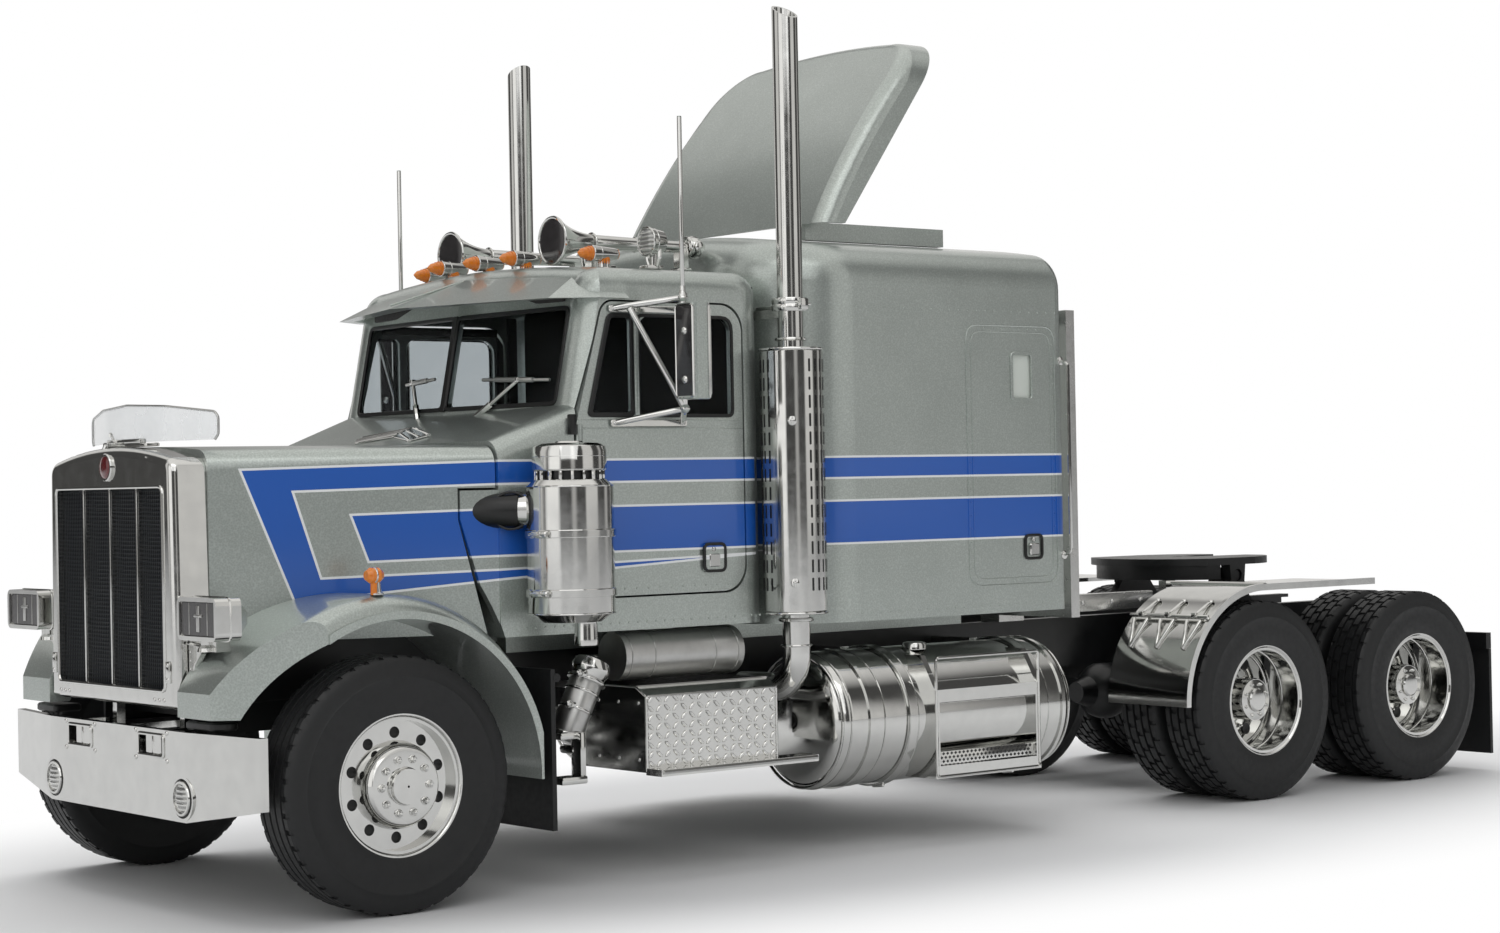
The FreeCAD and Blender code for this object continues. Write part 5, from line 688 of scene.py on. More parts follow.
class OBJECT_OT_truck_rims(bpy.types.Operator):
    """Adds the rolled rim edges, hub faces, nuts and hub caps"""
    bl_idname = "object.truck_rims"
    bl_label = "Rim trim"

    def execute(self, context):
        y = 47.7
        parts = [flange(y, [(0.25, 12.05), (0.42, 11.8), (0.4, 11.5)]),
                 turned("y", (0, y, WHEEL_Z), [(-2.4, 7.3), (-1.2, 7.3), (0.2, 7.0), (1.2, 6.55), (1.55, 6.2),
                                               (1.6, 5.6), (1.55, 3.2)], 64),
                 hoop("y", (0, y + 1.6, WHEEL_Z), 3.0, 0.16, 40),
                 turned("y", (0, y + 1.5, WHEEL_Z), [(-0.5, 2.7), (0.3, 2.68), (0.62, 2.4), (0.95, 1.7), (1.08, 0.8),
                                                     (1.1, 0.2)], 40),
                 nuts((0, y + 1.55, WHEEL_Z), 4.55, 10, 0.56, 0.75)]
        settle_sides(join(parts), "hub_front", "wheel_front", "bright_plating", 28, "wheel_chrome")
        # The dark plugs are painted shade in the front discs' hand holes.
        settle_sides(hand_holes(44.6, 1.15, 0.6), "hand_holes_front", "wheel_front", "chassis_black")
        y = 47.15
        parts = [flange(y, [(0.2, 12.05), (0.4, 11.8), (0.38, 11.5)]),
                 hoop("y", (0, y - 4.5, WHEEL_Z), 10.75, 0.3, 64),
                 hoop("y", (0, y - 8.2, WHEEL_Z), 10.2, 0.25, 64),
                 turned("y", (0, y - 10.4, WHEEL_Z), [(-0.4, 9.2), (0.1, 9.1), (0.5, 8.3), (0.55, 4.4)], 56),
                 nuts((0, y - 9.85, WHEEL_Z), 6.3, 10, 0.52, 1.1),
                 turned("y", (0, y, WHEEL_Z), [(-9.9, 4.2), (-6.0, 3.9), (-3.2, 3.6), (-3.0, 4.35), (-2.6, 4.4),
                                               (-2.5, 4.2)], 48),
                 nuts((0, y - 2.5, WHEEL_Z), 3.5, 8, 0.3, 0.45),
                 turned("y", (0, y - 2.5, WHEEL_Z), [(-0.1, 2.6), (0.5, 2.55), (0.75, 2.2), (0.85, 1.2)], 36)]
        settle_ends(join(parts), REAR_ENDS, "hub", "wheels", "bright_plating", 28, "wheel_chrome")
        # The dark plugs are painted shade in the rear discs' hand holes.
        settle_ends(hand_holes(35.4, 1.2, 2.05), REAR_ENDS, "hand_holes", "wheels", "chassis_black")
        return {"FINISHED"}


# --- Nose ---
def rivet_row(points, facing="x", out=1.0, radius=None):
    """Round rivet heads at points on a face."""
    radius = radius or bpy.context.scene.truck_sizes.rivet / MM
    head = dome(facing, (0, 0, 0), radius, out * radius * 0.6, 8)
    return spread(head, [shift(*point) for point in points])


class OBJECT_OT_truck_nose(bpy.types.Operator):
    """Adds the grille mesh, its bright edge, rivets, ornament disc, bug shield holder and bumper trim"""
    bl_idname = "object.truck_nose"
    bl_label = "Nose"

    def execute(self, context):
        mesh = plate(on_x(26.62, (-20.3592, 37), (20.3592, 70.8)), (0.12, 0, 0), 1.0, 0)
        settle(mesh, "grille_mesh", "hood", "grille_mesh")
        trim = [bead(on_x(27.98, (-20.4, 37), (20.4, 70.8)), 0.32, 1.2, steps=5, sides=2)]
        trim += [block((26.7, y - 0.22, 37.2), (27.75, y + 0.22, 70.7), 0.1) for y in (-10.2, 0, 10.2)]
        trim.append(rivet_row([(28.0, s * y, 35.5) for s in (-1, 1) for y in (16.4, 18.1, 19.8)], radius=0.34))
        trim += [block((27.9, s * 21.9 - 0.75, 38.4), (28.35, s * 21.9 + 0.75, 42.0), 0.2) for s in (-1, 1)]
        trim.append(rivet_row([(28.3, s * 21.9, z) for s in (-1, 1) for z in (39.0, 41.4)], radius=0.4))
        trim.append(turned("x", (27.95, 0, 74.3), [(0, 2.35), (0.35, 2.4), (0.55, 2.25), (0.55, 2.0), (0.1, 1.95)], 40))
        settle(join(trim), "grille_trim", "hood", "bright_plating")
        disc = turned("x", (28.1, 0, 74.3), [(0, 2.0), (0.3, 1.95), (0.5, 1.5), (0.58, 0.7)], 40)
        settle(disc, "nose_disc", "hood", "red_enamel")
        self.shield()
        self.bumper()
        arch = [(-0.3 + 27.6 * math.cos(math.radians(a)), 25.0, WHEEL_Z + 27.6 * math.sin(math.radians(a)))
                for a in range(28, 156, 8)]
        settle_both(plate(arch, (0, 0.35, 0), 0, 0.1), "arch_liners", "hood", "chassis_black")
        # A dark pad lies where the fender's nose meets the shell: painted shade in that joint.
        gap_shade = plate([(21.6, 25.0, 31.0), (27.0, 25.0, 31.0), (26.6, 33.5, 31.0), (24.6, 35.0, 31.0),
                      (22.4, 35.0, 31.0)], (0, 0, 1.4), 0.8, 0.3)
        settle_both(gap_shade, "nose_pads", "chassis", "gasket_rubber")
        return {"FINISHED"}

    def shield(self):
        """The bug shield's holder, its clear sheet and the sheet's edge."""
        holder = [plate([(22.6, -9.5, 77.72), (24.9, -8.3, 77.72), (24.9, 8.3, 77.72), (22.6, 9.5, 77.72)],
                        (0, 0, 0.62), 0.6, 0.15),
                  bead([(24.2, 0, 78.1), (24.9, -3.6, 78.9), (25.5, -3.6, 80.3), (25.5, -3.6, 79.6)], 0.28, 0.3, False),
                  block((24.3, -4.5, 77.9), (26.6, -2.7, 78.6), 0.2),
                  bead([(26.4, -3.6, 78.3), (26.9, -3.6, 77.3), (26.6, -3.6, 75.9)], 0.3, 0.3, False),
                  block((23.6, -6.6, 78.2), (24.9, 6.2, 79.1), 0.25)]
        settle(join(holder), "bug_shield_holder", "hood", "bright_plating")
        # The clear sheet stands in four panels, swept back at the ends, with a bright cut edge.
        half = [(24.3, 0, 84.9), (23.0, 12, 84.4), (19.7, 23.0, 83.2), (19.45, 23.8, 82.3), (19.45, 23.8, 79.4),
                (19.7, 23.0, 78.5)]
        foot = [(23.0, 12, 78.5), (24.3, 0, 78.5)]
        sheet = join([outline([(x, s * y, z) for x, y, z in points]) for s in (1, -1)
                      for points in (half[:2] + foot, half[1:] + foot[:1])])
        shape(sheet, "FACE", "SELECT")
        bpy.ops.mesh.remove_doubles(threshold=0.01 * MM)
        bpy.ops.mesh.normals_make_consistent(inside=False)
        bpy.ops.mesh.extrude_region_move(TRANSFORM_OT_translate={"value": (-0.4 * MM, 0, 0)})
        settle(close(sheet), "bug_shield_sheet", "hood", "shield_sheet", 20)
        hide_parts("bug_shield")
        edge = [(x - 0.2, -y, z) for x, y, z in reversed(half[1:])] + [(x - 0.2, y, z) for x, y, z in half]
        settle(bead(edge, 0.22, 0.5, False), "bug_shield_edge", "hood", "satin_plating")

    def bumper(self):
        """Tow windows with their corner bolts, and fog lamps."""
        face = 27.4
        corners = [(y, z) for y in (7.9, 19.3) for z in (25.4, 30.0)]
        pieces = [bead(on_x(face, (9.0, 26.0), (18.2, 29.6)), 0.3, 0.5),
                  rivet_row([(face, y, z) for y, z in corners], radius=0.42),
                  plate(on_x(face - 0.9, (10.8, 26.2), (16.2, 29.4)), (0.5, 0, 0), 0.4, 0.15),
                  rod((face - 1.2, 13.5, 25.8), (face - 1.2, 13.5, 29.8), 0.9),
                  turned("x", (face - 0.35, 24.4, 19.6), [(0, 3.0), (0.45, 3.0), (0.7, 2.85), (0.7, 2.5), (0.1, 2.4)],
                         40)]
        settle_both(join(pieces), "bumper_trim", "chassis", "bright_plating")
        lens = turned("x", (face - 0.4, 24.4, 19.6), [(0, 2.5), (0.45, 2.45), (0.75, 1.6), (0.85, 0.6)], 40)
        settle_both(lens, "fog_lenses", "chassis", "lamp_glass")
        dark = [hoop("x", (face - 0.02, 24.4, 19.6), 3.12, 0.16),
                rivet_row([(face + 0.1, y, z) for y, z in corners], radius=0.2)]
        settle_both(join(dark), "bumper_seals", "chassis", "gasket_rubber")


class OBJECT_OT_truck_lamps(bpy.types.Operator):
    """Adds the headlamp lenses, bezels, arms and the marker lamp rings"""
    bl_idname = "object.truck_lamps"
    bl_label = "Lamps"

    def execute(self, context):
        y, z = 33.4, 49.3
        lens = plate(on_x(28.3, (y - 5.9, z - 2.75), (y + 5.9, z + 2.75)), (0.22, 0, 0), 0.7, 0.1)
        settle_both(lens, "headlamp_lenses", "hood", "smoked_disc")
        bulb = [block((28.4, y - 0.5, z - 2.1), (28.72, y + 0.5, z + 2.2), 0.15),
                rod((28.45, y - 1.3, z + 0.5), (28.45, y + 1.3, z + 0.5), 0.3)]
        bulb += [block((28.4, y + s * 3.1 - 0.1, z - 2.6), (28.6, y + s * 3.1 + 0.1, z + 2.6), 0.05) for s in (-1, 1)]
        settle_both(join(bulb), "headlamp_bulbs", "hood", "satin_plating", 35, "glass")
        trim = [bead(on_x(28.62, (y - 6.3, z - 3.15), (y + 6.3, z + 3.15)), 0.28, 1.0, steps=5),
                bead(on_x(26.2, (y - 6.68, z - 3.48), (y + 6.68, z + 3.48)), 0.2, 1.2, steps=5),
                plate([(24.4, 24.3, 45.2), (24.4, 30.6, 44.6), (24.4, 31.4, 43.9), (24.4, 28.4, 43.4),
                       (24.4, 26.2, 41.4), (24.4, 25.4, 38.8), (24.4, 24.3, 38.8)], (1.3, 0, 0), 0.3, 0.15),
                bead([(25.8, 24.5, 45.0), (25.8, 30.6, 44.4)], 0.28, 0, False),
                rivet_row([(25.65, 24.9, b) for b in (39.4, 40.8, 42.2, 43.6)], radius=0.26),
                turned("z", (25.4, 30.2, 43.8), [(0, 1.6), (0.6, 1.5), (1.1, 1.0), (2.4, 1.0)], 20)]
        settle_both(join(trim), "headlamp_trim", "hood", "bright_plating")
        x, y, z = 2.8, 45.2, 55.6
        ring = hoop("x", (x + 0.05, y, z), 1.28, 0.14, 24)
        back = turned("x", (x - 1.5, y, z), [(0, 0.5), (0.3, 1.0), (0.8, 1.24), (1.45, 1.32), (1.5, 1.25)], 24)
        foot = turned("z", (x - 0.6, y, z - 3.2), [(0, 1.1), (0.25, 1.1), (0.5, 0.7), (2.4, 0.55)], 16)
        settle_both(join([ring, back, foot]), "marker_bodies", "hood", "bright_plating")
        return {"FINISHED"}


# --- Cab ---
def screen_at(y, z, out=0.0):
    """A point on the windshield, or proud of it."""
    return (-39.6 - 0.198 * (z - 83.2) - 1.9 * abs(y) / 34 + out, y, z)


def cowl_at(x, y):
    """A point on the cowl's top slope."""
    return (x, y, 77.75 - (x + 25.3) * 0.385)


# Pivot, tip of the arm, and the two ends of the blade.
WIPERS = (((-38.9, 10.2, 81.6), screen_at(23.2, 88.9, 0.9), screen_at(11.8, 89.4, 0.55), screen_at(32.0, 88.6, 0.55)),
          ((-38.9, -7.4, 81.8), screen_at(-12.0, 89.9, 0.9), screen_at(-15.0, 89.5, 0.55),
           screen_at(-4.0, 90.2, 0.55)))


class OBJECT_OT_truck_windows(bpy.types.Operator):
    """Adds the window gaskets, centre post, window posts and wipers"""
    bl_idname = "object.truck_windows"
    bl_label = "Windows"

    def execute(self, context):
        wide = context.scene.truck_sizes.gasket / MM
        low, high = 83.85, 101.75
        pane = [screen_at(y, z, -0.3) for y, z in ((0.15, low), (34.35, low), (34.35, high), (0.15, high))]
        seal = spread(surround(pane, wide, (0.62, 0.03, 0.12), 1.7, 0.12), [move for _, move in SIDES])
        post = plate([screen_at(y, z, 0.05) for y, z in ((-0.75, low), (0.75, low), (0.75, high), (-0.75, high))],
                     (0.4, 0, 0.08), 0.2, 0.12)
        settle(join([seal, post]), "windshield_gasket", "chassis", "gasket_rubber")
        y, low, high = 39.85, 81.65, 100.25
        seals = [surround(on_y(y, (-77.25, low), (-55.25, high)), wide * 0.8, (0, 0.4, 0), [1.4, 1.4, 1.4, 2.8], 0.1),
                 surround([(-54.65, y, low), (-44.145, y, low), (-48.85, y, high), (-54.65, y, high)], wide * 1.1,
                          (0, 0.5, 0), 1.4, 0.1)]
        settle_sides(join(seals), "window_gaskets", "door", "gasket_rubber")
        posts = [block((-55.45, 39.7, 82.1), (-54.45, 40.5, 99.8), 0.15),
                 bead([(-54.9, 40.3, 82.2), (-54.9, 40.3, 99.7)], 0.25, 0, False)]
        settle_sides(join(posts), "window_posts", "door", "silver_lacquer")
        self.wipers()
        return {"FINISHED"}

    def wipers(self):
        """Bright arms on pivots, grey blades."""
        arms, blades = [], []
        proud = Vector((0.3, 0, 0))
        for spots in WIPERS:
            pivot, tip, near, far = (Vector(spot) for spot in spots)
            arms += [dome("z", pivot - Vector((0, 0, 0.6)), 1.0, 1.3, 14), rod(pivot, tip, 0.38, 10),
                     rod(pivot, pivot.lerp(tip, 0.45), 0.62, 8), cube(tip, 0.55)]
            blades += [rod(near, far, 0.32, 8), rod(near.lerp(far, 0.22) + proud, near.lerp(far, 0.78) + proud, 0.5, 8)]
        settle(join(arms), "wiper_arms", "chassis", "bright_plating")
        settle(join(blades), "wiper_blades", "chassis", "satin_plating")


class OBJECT_OT_truck_cab(bpy.types.Operator):
    """Adds the door handles, belt lines, mirrors, hinge blocks, sill rivets and visor seams"""
    bl_idname = "object.truck_cab"
    bl_label = "Cab trim"

    def execute(self, context):
        y = 40.0
        belt = [bead([(-41.9, y, 79.7), (-79.1, y, 79.7)], 0.16, 0, False, 1),
                bead([(-42.2, y, 81.2), (-79.1, y, 81.2)], 0.1, 0, False, 1)]
        settle_sides(join(belt), "belt_lines", "door", "silver_lacquer")
        settle_sides(paddle(-71.8, y, 56.15, 2.4, 2.45), "door_handles", "door", "bright_plating")
        settle_sides(paddle_ring(-71.8, y + 0.25, 56.15, 2.4, 2.45), "handle_rings", "door", "gasket_rubber")
        hinge = [block((-41.3, 39.8, 78.6), (-40.0, 41.0, 82.2), 0.2),
                 block((-41.5, 39.8, 56.2), (-40.2, 40.6, 59.2), 0.2)]
        settle_both(join(hinge), "hinge_blocks", "chassis", "gasket_rubber")
        sill = rivet_row([(-28.5 - 2 * i, y, 45.2) for i in range(28)], "y", radius=0.24)
        settle_both(sill, "sill_rivets", "chassis", "silver_lacquer")
        door = rivet_row([(-44 - 2.6 * i, y, 51.2) for i in range(13)], "y", radius=0.22)
        settle_sides(door, "door_rivets", "door", "silver_lacquer")
        # The visor's halves meet in a raised seam; its rear edges are lapped over the roof.
        seams = [bead([(-28.7, 0, 103.45), (-44.8, 0, 108.5)], 0.22, 0, False)]
        seams += [bead([(-50.6, s * 40.3, 103.0), (-53.1, s * 36.4, 106.6), (-53.0, s * 34.2, 108.4)], 0.16, 1.0, False)
                  for s in (1, -1)]
        settle(join(seams), "visor_seams", "chassis", "silver_lacquer")
        self.mirrors()
        vents = [bead([cowl_at(x, 0.5), cowl_at(x + 3.6, 11.5 - i)], 0.42, 0, False)
                 for i, x in enumerate((-33.0, -31.6, -30.2))]
        vents.append(plate([cowl_at(x, b) for x, b in ((-33.4, 0.2), (-28.6, 12.6), (-26.4, 9.4), (-28.8, 0.2))],
                           (0.1, 0, 0.25), 0.4, 0.1))
        settle_both(join(vents), "cowl_vents", "chassis", "bright_plating")
        self.lining()
        return {"FINISHED"}

    def lining(self):
        """Dark trim panels inside the cab, its doors and its roof, drawn near black also as the painted shade inside
        the cab that shows through the windows.
        """
        panels = [block((-83.8, -38.0, 45.6), (-83.2, 38.0, 106.0), 0.2),
                  block((-83.0, -34.5, 105.9), (-46.5, 34.5, 106.4), 0.2),
                  block((-83.0, 37.7, 46), (-79.9, 38.35, 104.5), 0.15),
                  block((-83.0, -38.35, 46), (-79.9, -37.7, 104.5), 0.15),
                  block((-45.4, -32.5, 102.6), (-44.8, 32.5, 105.6), 0.15),
                  block((-82.8, -37.5, 45.5), (-30.0, 37.5, 46.0), 0.15)]
        settle(join(panels), "cab_lining", "chassis", "interior_vinyl")
        door = [block((-78.4, 38.05, 50.8), (-42.4, 38.42, 81.4), 0.15),
                block((-77.5, 38.05, 100.6), (-50.2, 38.42, 102.2), 0.1),
                plate([(-78.9, 38.05, 81.0), (-77.3, 38.05, 81.0), (-77.3, 38.05, 100.8), (-78.9, 38.05, 99.0)],
                      (0, 0.35, 0), 0.3, 0.1),
                block((-70, 37.2, 68.5), (-54, 38.3, 70.5), 0.3)]
        settle_sides(join(door), "door_linings", "door", "interior_vinyl")

    def mirrors(self):
        """Plated skins of the mirror arms and stems, dark front plates, bright backs and bolts."""
        x, y = -60.2, 47.4
        parts = []
        for z, joint in ((80.6, 83.0), (101.0, 102.7)):
            parts += [rod((near, 40.2, z), (x, y, joint), 0.56, 12) for near in (-49.9, -65.1)]
            parts += [plate(on_y(40.3, (-66.0, z - 0.62), (-49.0, z + 0.62)), (0, 0.32, 0), 0.55, 0.1),
                      rivet_row([(a, 40.6, z) for a in (-65.2, -49.8)], "y", radius=0.34),
                      hoop("z", (x, y, joint), 0.75, 0.3, 16)]
        parts += [rod((-51.8, 42.8, 101.0), (x, y, 83.0), 0.56, 12), rod((x, y, 82.4), (x, y, 103.3), 0.58, 12),
                  rod((x, y, 102.7), (x, y, 134.9), 0.43, 10),
                  turned("z", (x, y, 102.6), [(0, 0.9), (0.8, 0.85), (1.2, 0.6), (2.2, 0.5)], 14),
                  plate(on_x(-62.25, (47.45, 84.5), (52.95, 101.7)), (2.4, 0, 0), 0.8, 0.3)]
        settle_sides(join(parts), "mirror_arms", "door", "bright_plating")
        front = plate(on_x(-58.4, (47.7, 84.9), (52.7, 101.3)), (0.22, 0, 0), 0.7, 0.12)
        settle_sides(front, "mirror_fronts", "door", "smoked_disc")
        bolts = [dome("x", (-58.2, 50.3, z), 0.75, 0.5, 14) for z in (88.0, 96.6)]
        bolts.append(bead(on_x(-58.3, (47.75, 84.95), (52.65, 101.25)), 0.22, 0.7))
        settle_sides(join(bolts), "mirror_bolts", "door", "bright_plating")
        glass = plate(on_x(-62.4, (47.9, 85.1), (52.6, 101.1)), (0.14, 0, 0), 0.6, 0)
        settle_sides(glass, "mirror_glass", "door", "bright_plating")


def paddle(x, y, z, half, tall):
    """A paddle latch: a pull plate with its barrel and a rivet."""
    pull = on_y(y, (x - half * 0.55, z - tall * 0.72), (x + half * 0.55, z + tall * 0.3))
    barrel = turned("z", (x + half * 0.1, y + 0.3, z + tall * 0.45),
                    [(0, 0.35), (0.2, 0.5), (0.6, 0.5), (0.8, 0.35)], 12)
    return join([plate(pull, (0, 0.62, 0), 0.4, 0.2), barrel, rivet_row([(x, y, z - tall * 0.86)], "y", radius=0.25)])


def paddle_ring(x, y, z, half, tall):
    """The dark ring a paddle latch sits in."""
    return bead(on_y(y + 0.2, (x - half, z - tall), (x + half, z + tall)), 0.32, half * 0.45, steps=5)


class OBJECT_OT_truck_roof(bpy.types.Operator):
    """Adds the lamp bodies, the dark discs of painted shade in the horn mouths, spotlight lens and roof fittings"""
    bl_idname = "object.truck_roof"
    bl_label = "Roof trim"

    def execute(self, context):
        z = 111.9
        body = [turned("x", (0, 0, 0), [(-5.75, 0.4), (-5.65, 0.95), (-5.0, 1.12), (-0.35, 1.5), (0.15, 1.56),
                                        (0.2, 1.42)], 28),
                hoop("x", (0.1, 0, 0), 1.44, 0.14, 28), hoop("x", (-1.6, 0, 0), 1.36, 0.1, 24),
                turned("z", (-2.8, 0, -3.4), [(0, 1.5), (0.5, 1.45), (0.9, 1.15), (3.0, 1.1)], 18)]
        places = [(-47.8, 0), (-47.8, 12.4), (-47.8, -12.4), (-54.4, 28.0), (-54.4, -28.0)]
        settle(spread(join(body), [shift(x, y, z) for x, y in places]), "roof_lamp_bodies", "chassis", "bright_plating")
        ribs = [hoop("x", (a, 0, 0), r, 0.07, 24) for a, r in ((0.7, 1.28), (1.3, 1.1), (1.9, 0.86))]
        settle(spread(join(ribs), [shift(x, y, z) for x, y in places]), "roof_lamp_ribs", "chassis", "amber_lens")
        z = 115.0
        # A dark disc fills each horn's mouth: painted shade inside the bell.
        disc = turned("x", (-53.25, 17.4, z), [(-0.35, 4.2), (0.1, 4.15), (0.22, 3.6), (0.25, 1.4)], 44)
        settle_both(disc, "horn_discs", "chassis", "smoked_disc")
        bell = [hoop("x", (-53.2, 17.4, z), 4.32, 0.3, 48), hoop("x", (-62.0, 17.4, z), 1.75, 0.2, 28),
                hoop("x", (-72.0, 17.4, z), 1.3, 0.2, 24), hoop("x", (-84.4, 17.4, z), 1.75, 0.35, 28),
                hoop("y", (-86.0, 17.4, z), 2.0, 0.25, 28),
                turned("y", (-86.0, 19.2, z), [(0, 1.2), (0.4, 1.15), (0.7, 0.7)], 18)]
        foot = [block((-66.4, 15.6, 110.0), (-62.8, 19.2, 110.75), 0.2),
                block((-84.2, 15.6, 110.2), (-81.6, 19.2, 110.95), 0.2),
                rivet_row([(a, b, 110.7) for a in (-66, -63.2) for b in (16.1, 18.7)], "z", radius=0.3)]
        settle_both(join(bell + foot), "horn_rims", "chassis", "bright_plating")
        x, y, z = -66.5, 28.5, 114.5
        lens = turned("x", (x - 0.1, y, z), [(0, 2.5), (0.2, 2.45), (0.45, 1.9), (0.55, 0.8)], 36)
        settle(lens, "spotlight_lens", "chassis", "lamp_glass")
        case = [hoop("x", (x, y, z), 2.62, 0.2, 36), hoop("x", (x - 1.2, y, z), 2.48, 0.12, 32),
                block((x - 3.0, y - 1.3, 109.3), (x + 0.9, y + 1.3, 110.1), 0.25)]
        case += [bead([(x - 1.6, y + s * 1.2, 109.9), (x - 1.6, y + s * 1.9, 111.4), (x - 1.6, y + s * 1.9, 113.0)],
                      0.35, 0.5, False) for s in (-1, 1)]
        settle(join(case), "spotlight_trim", "chassis", "bright_plating")
        return {"FINISHED"}


class OBJECT_OT_truck_sleeper(bpy.types.Operator):
    """Adds the locker hatch, latch, grab rail, port seal and rivets of the sleeper"""
    bl_idname = "object.truck_sleeper"
    bl_label = "Sleeper trim"

    def execute(self, context):
        y = 43.0
        edges = [bead(on_y(y, (-157.4, 48.5), (-133.1, 99.8)), 0.2, 3.3, steps=6),
                 bead(on_y(y, (-156.1, 49.8), (-134.4, 98.5)), 0.13, 2.6, steps=6)]
        settle_both(join(edges), "hatch_edges", "chassis", "striped_lacquer")
        studs = [(x, y, 52 + 2.6 * i) for x in (-156.75, -133.75) for i in range(18)]
        studs += [(-152.5 + 2.4 * i, y, z) for i in range(7) for z in (49.15, 99.15)]
        studs += [(-105.0 - 2.4 * i, y, z) for z in (44.6, 102.6) for i in range(23)]
        settle_both(rivet_row(studs, "y", radius=0.21), "sleeper_rivets", "chassis", "striped_lacquer")
        settle_both(paddle(-150.5, y, 55.8, 2.3, 2.3), "hatch_latches", "chassis", "bright_plating")
        settle_both(paddle_ring(-150.5, y, 55.8, 2.3, 2.3), "latch_rings", "chassis", "gasket_rubber")
        x = -159.2
        rail = [bead([(x, 42.9, 53.9), (x, 45.0, 54.6), (x, 45.0, 92.3), (x, 42.9, 93.0)], 0.36, 0.7, False, 2)]
        rail += [turned("y", (x, 42.9, z), [(0, 0.9), (0.25, 0.85), (0.4, 0.5)], 14) for z in (53.9, 93.0)]
        settle_both(join(rail), "grab_rails", "chassis", "bright_plating")
        seal = surround(on_y(y - 0.2, (-151.4, 84.8), (-145.0, 94.7)), 0.7, (0, 0.5, 0), 1.3, 0.1)
        settle_both(seal, "port_seals", "chassis", "silver_lacquer")
        return {"FINISHED"}


class OBJECT_OT_truck_stacks(bpy.types.Operator):
    """Adds the heat shield's slots as dark strips of painted shade, and the clamps and flanges of the exhaust stacks"""
    bl_idname = "object.truck_stacks"
    bl_label = "Stack trim"

    def execute(self, context):
        x, y, r = -87.9, 43.9, 5.9
        slot = plate(on_x(x + r, (y - 0.2, 49.6), (y + 0.2, 52.0)), (0.04, 0, 0), 0.16, 0, steps=2)
        column = spread(slot, [shift(0, 0, 3.35 * i) for i in range(13)])
        # A plain strip of the shield faces outwards and forwards; the slots, dark strips of painted shade, run round
        # the rest.
        ring = spread(column, [turn("z", angle, (x, y, 0)) for angle in range(84, 378, 14)])
        settle_both(ring, "shield_slots", "chassis", "gasket_rubber")
        parts = [hoop("z", (x, y, z), r - 0.05, 0.28, 40) for z in (45.5, 94.1)]
        parts += [turned("z", (x, y, z), [(0, 3.3), (0.3, 3.45), (0.9, 3.45), (1.2, 3.3)], 36) for z in (101.2, 102.4)]
        parts += [hoop("z", (x, y, 96.0), 2.75, 0.3, 32), hoop("z", (x, y, 44.2), 3.0, 0.35, 32),
                  hoop("z", (x, y, 39.4), 2.75, 0.22, 32)]
        for z in (80.8, 51.1):
            bolt = join([turned("x", (x + r - 0.1, y, z), [(0, 0.85), (0.3, 0.85), (0.45, 0.6)], 14),
                         block((x + r + 0.1, y - 0.22, z - 0.85), (x + r + 0.95, y + 0.22, z + 0.85), 0.18),
                         rod((x + r, y, z), (x + r + 1.15, y, z), 0.3, 8)])
            parts.append(spread(bolt, [turn("z", 50, (x, y, 0))]))
        clamp = join([block((x - 0.9, y + 3.2, 101.3), (x + 0.9, y + 4.3, 103.4), 0.2),
                      rod((x - 1.5, y + 3.9, 102.3), (x + 1.5, y + 3.9, 102.3), 0.3, 8)])
        parts += [clamp, block((x - 0.8, 34.5, 101.4), (x + 0.8, y - 2.6, 102.5), 0.2)]
        settle_both(join(parts), "stack_clamps", "chassis", "bright_plating")
        return {"FINISHED"}


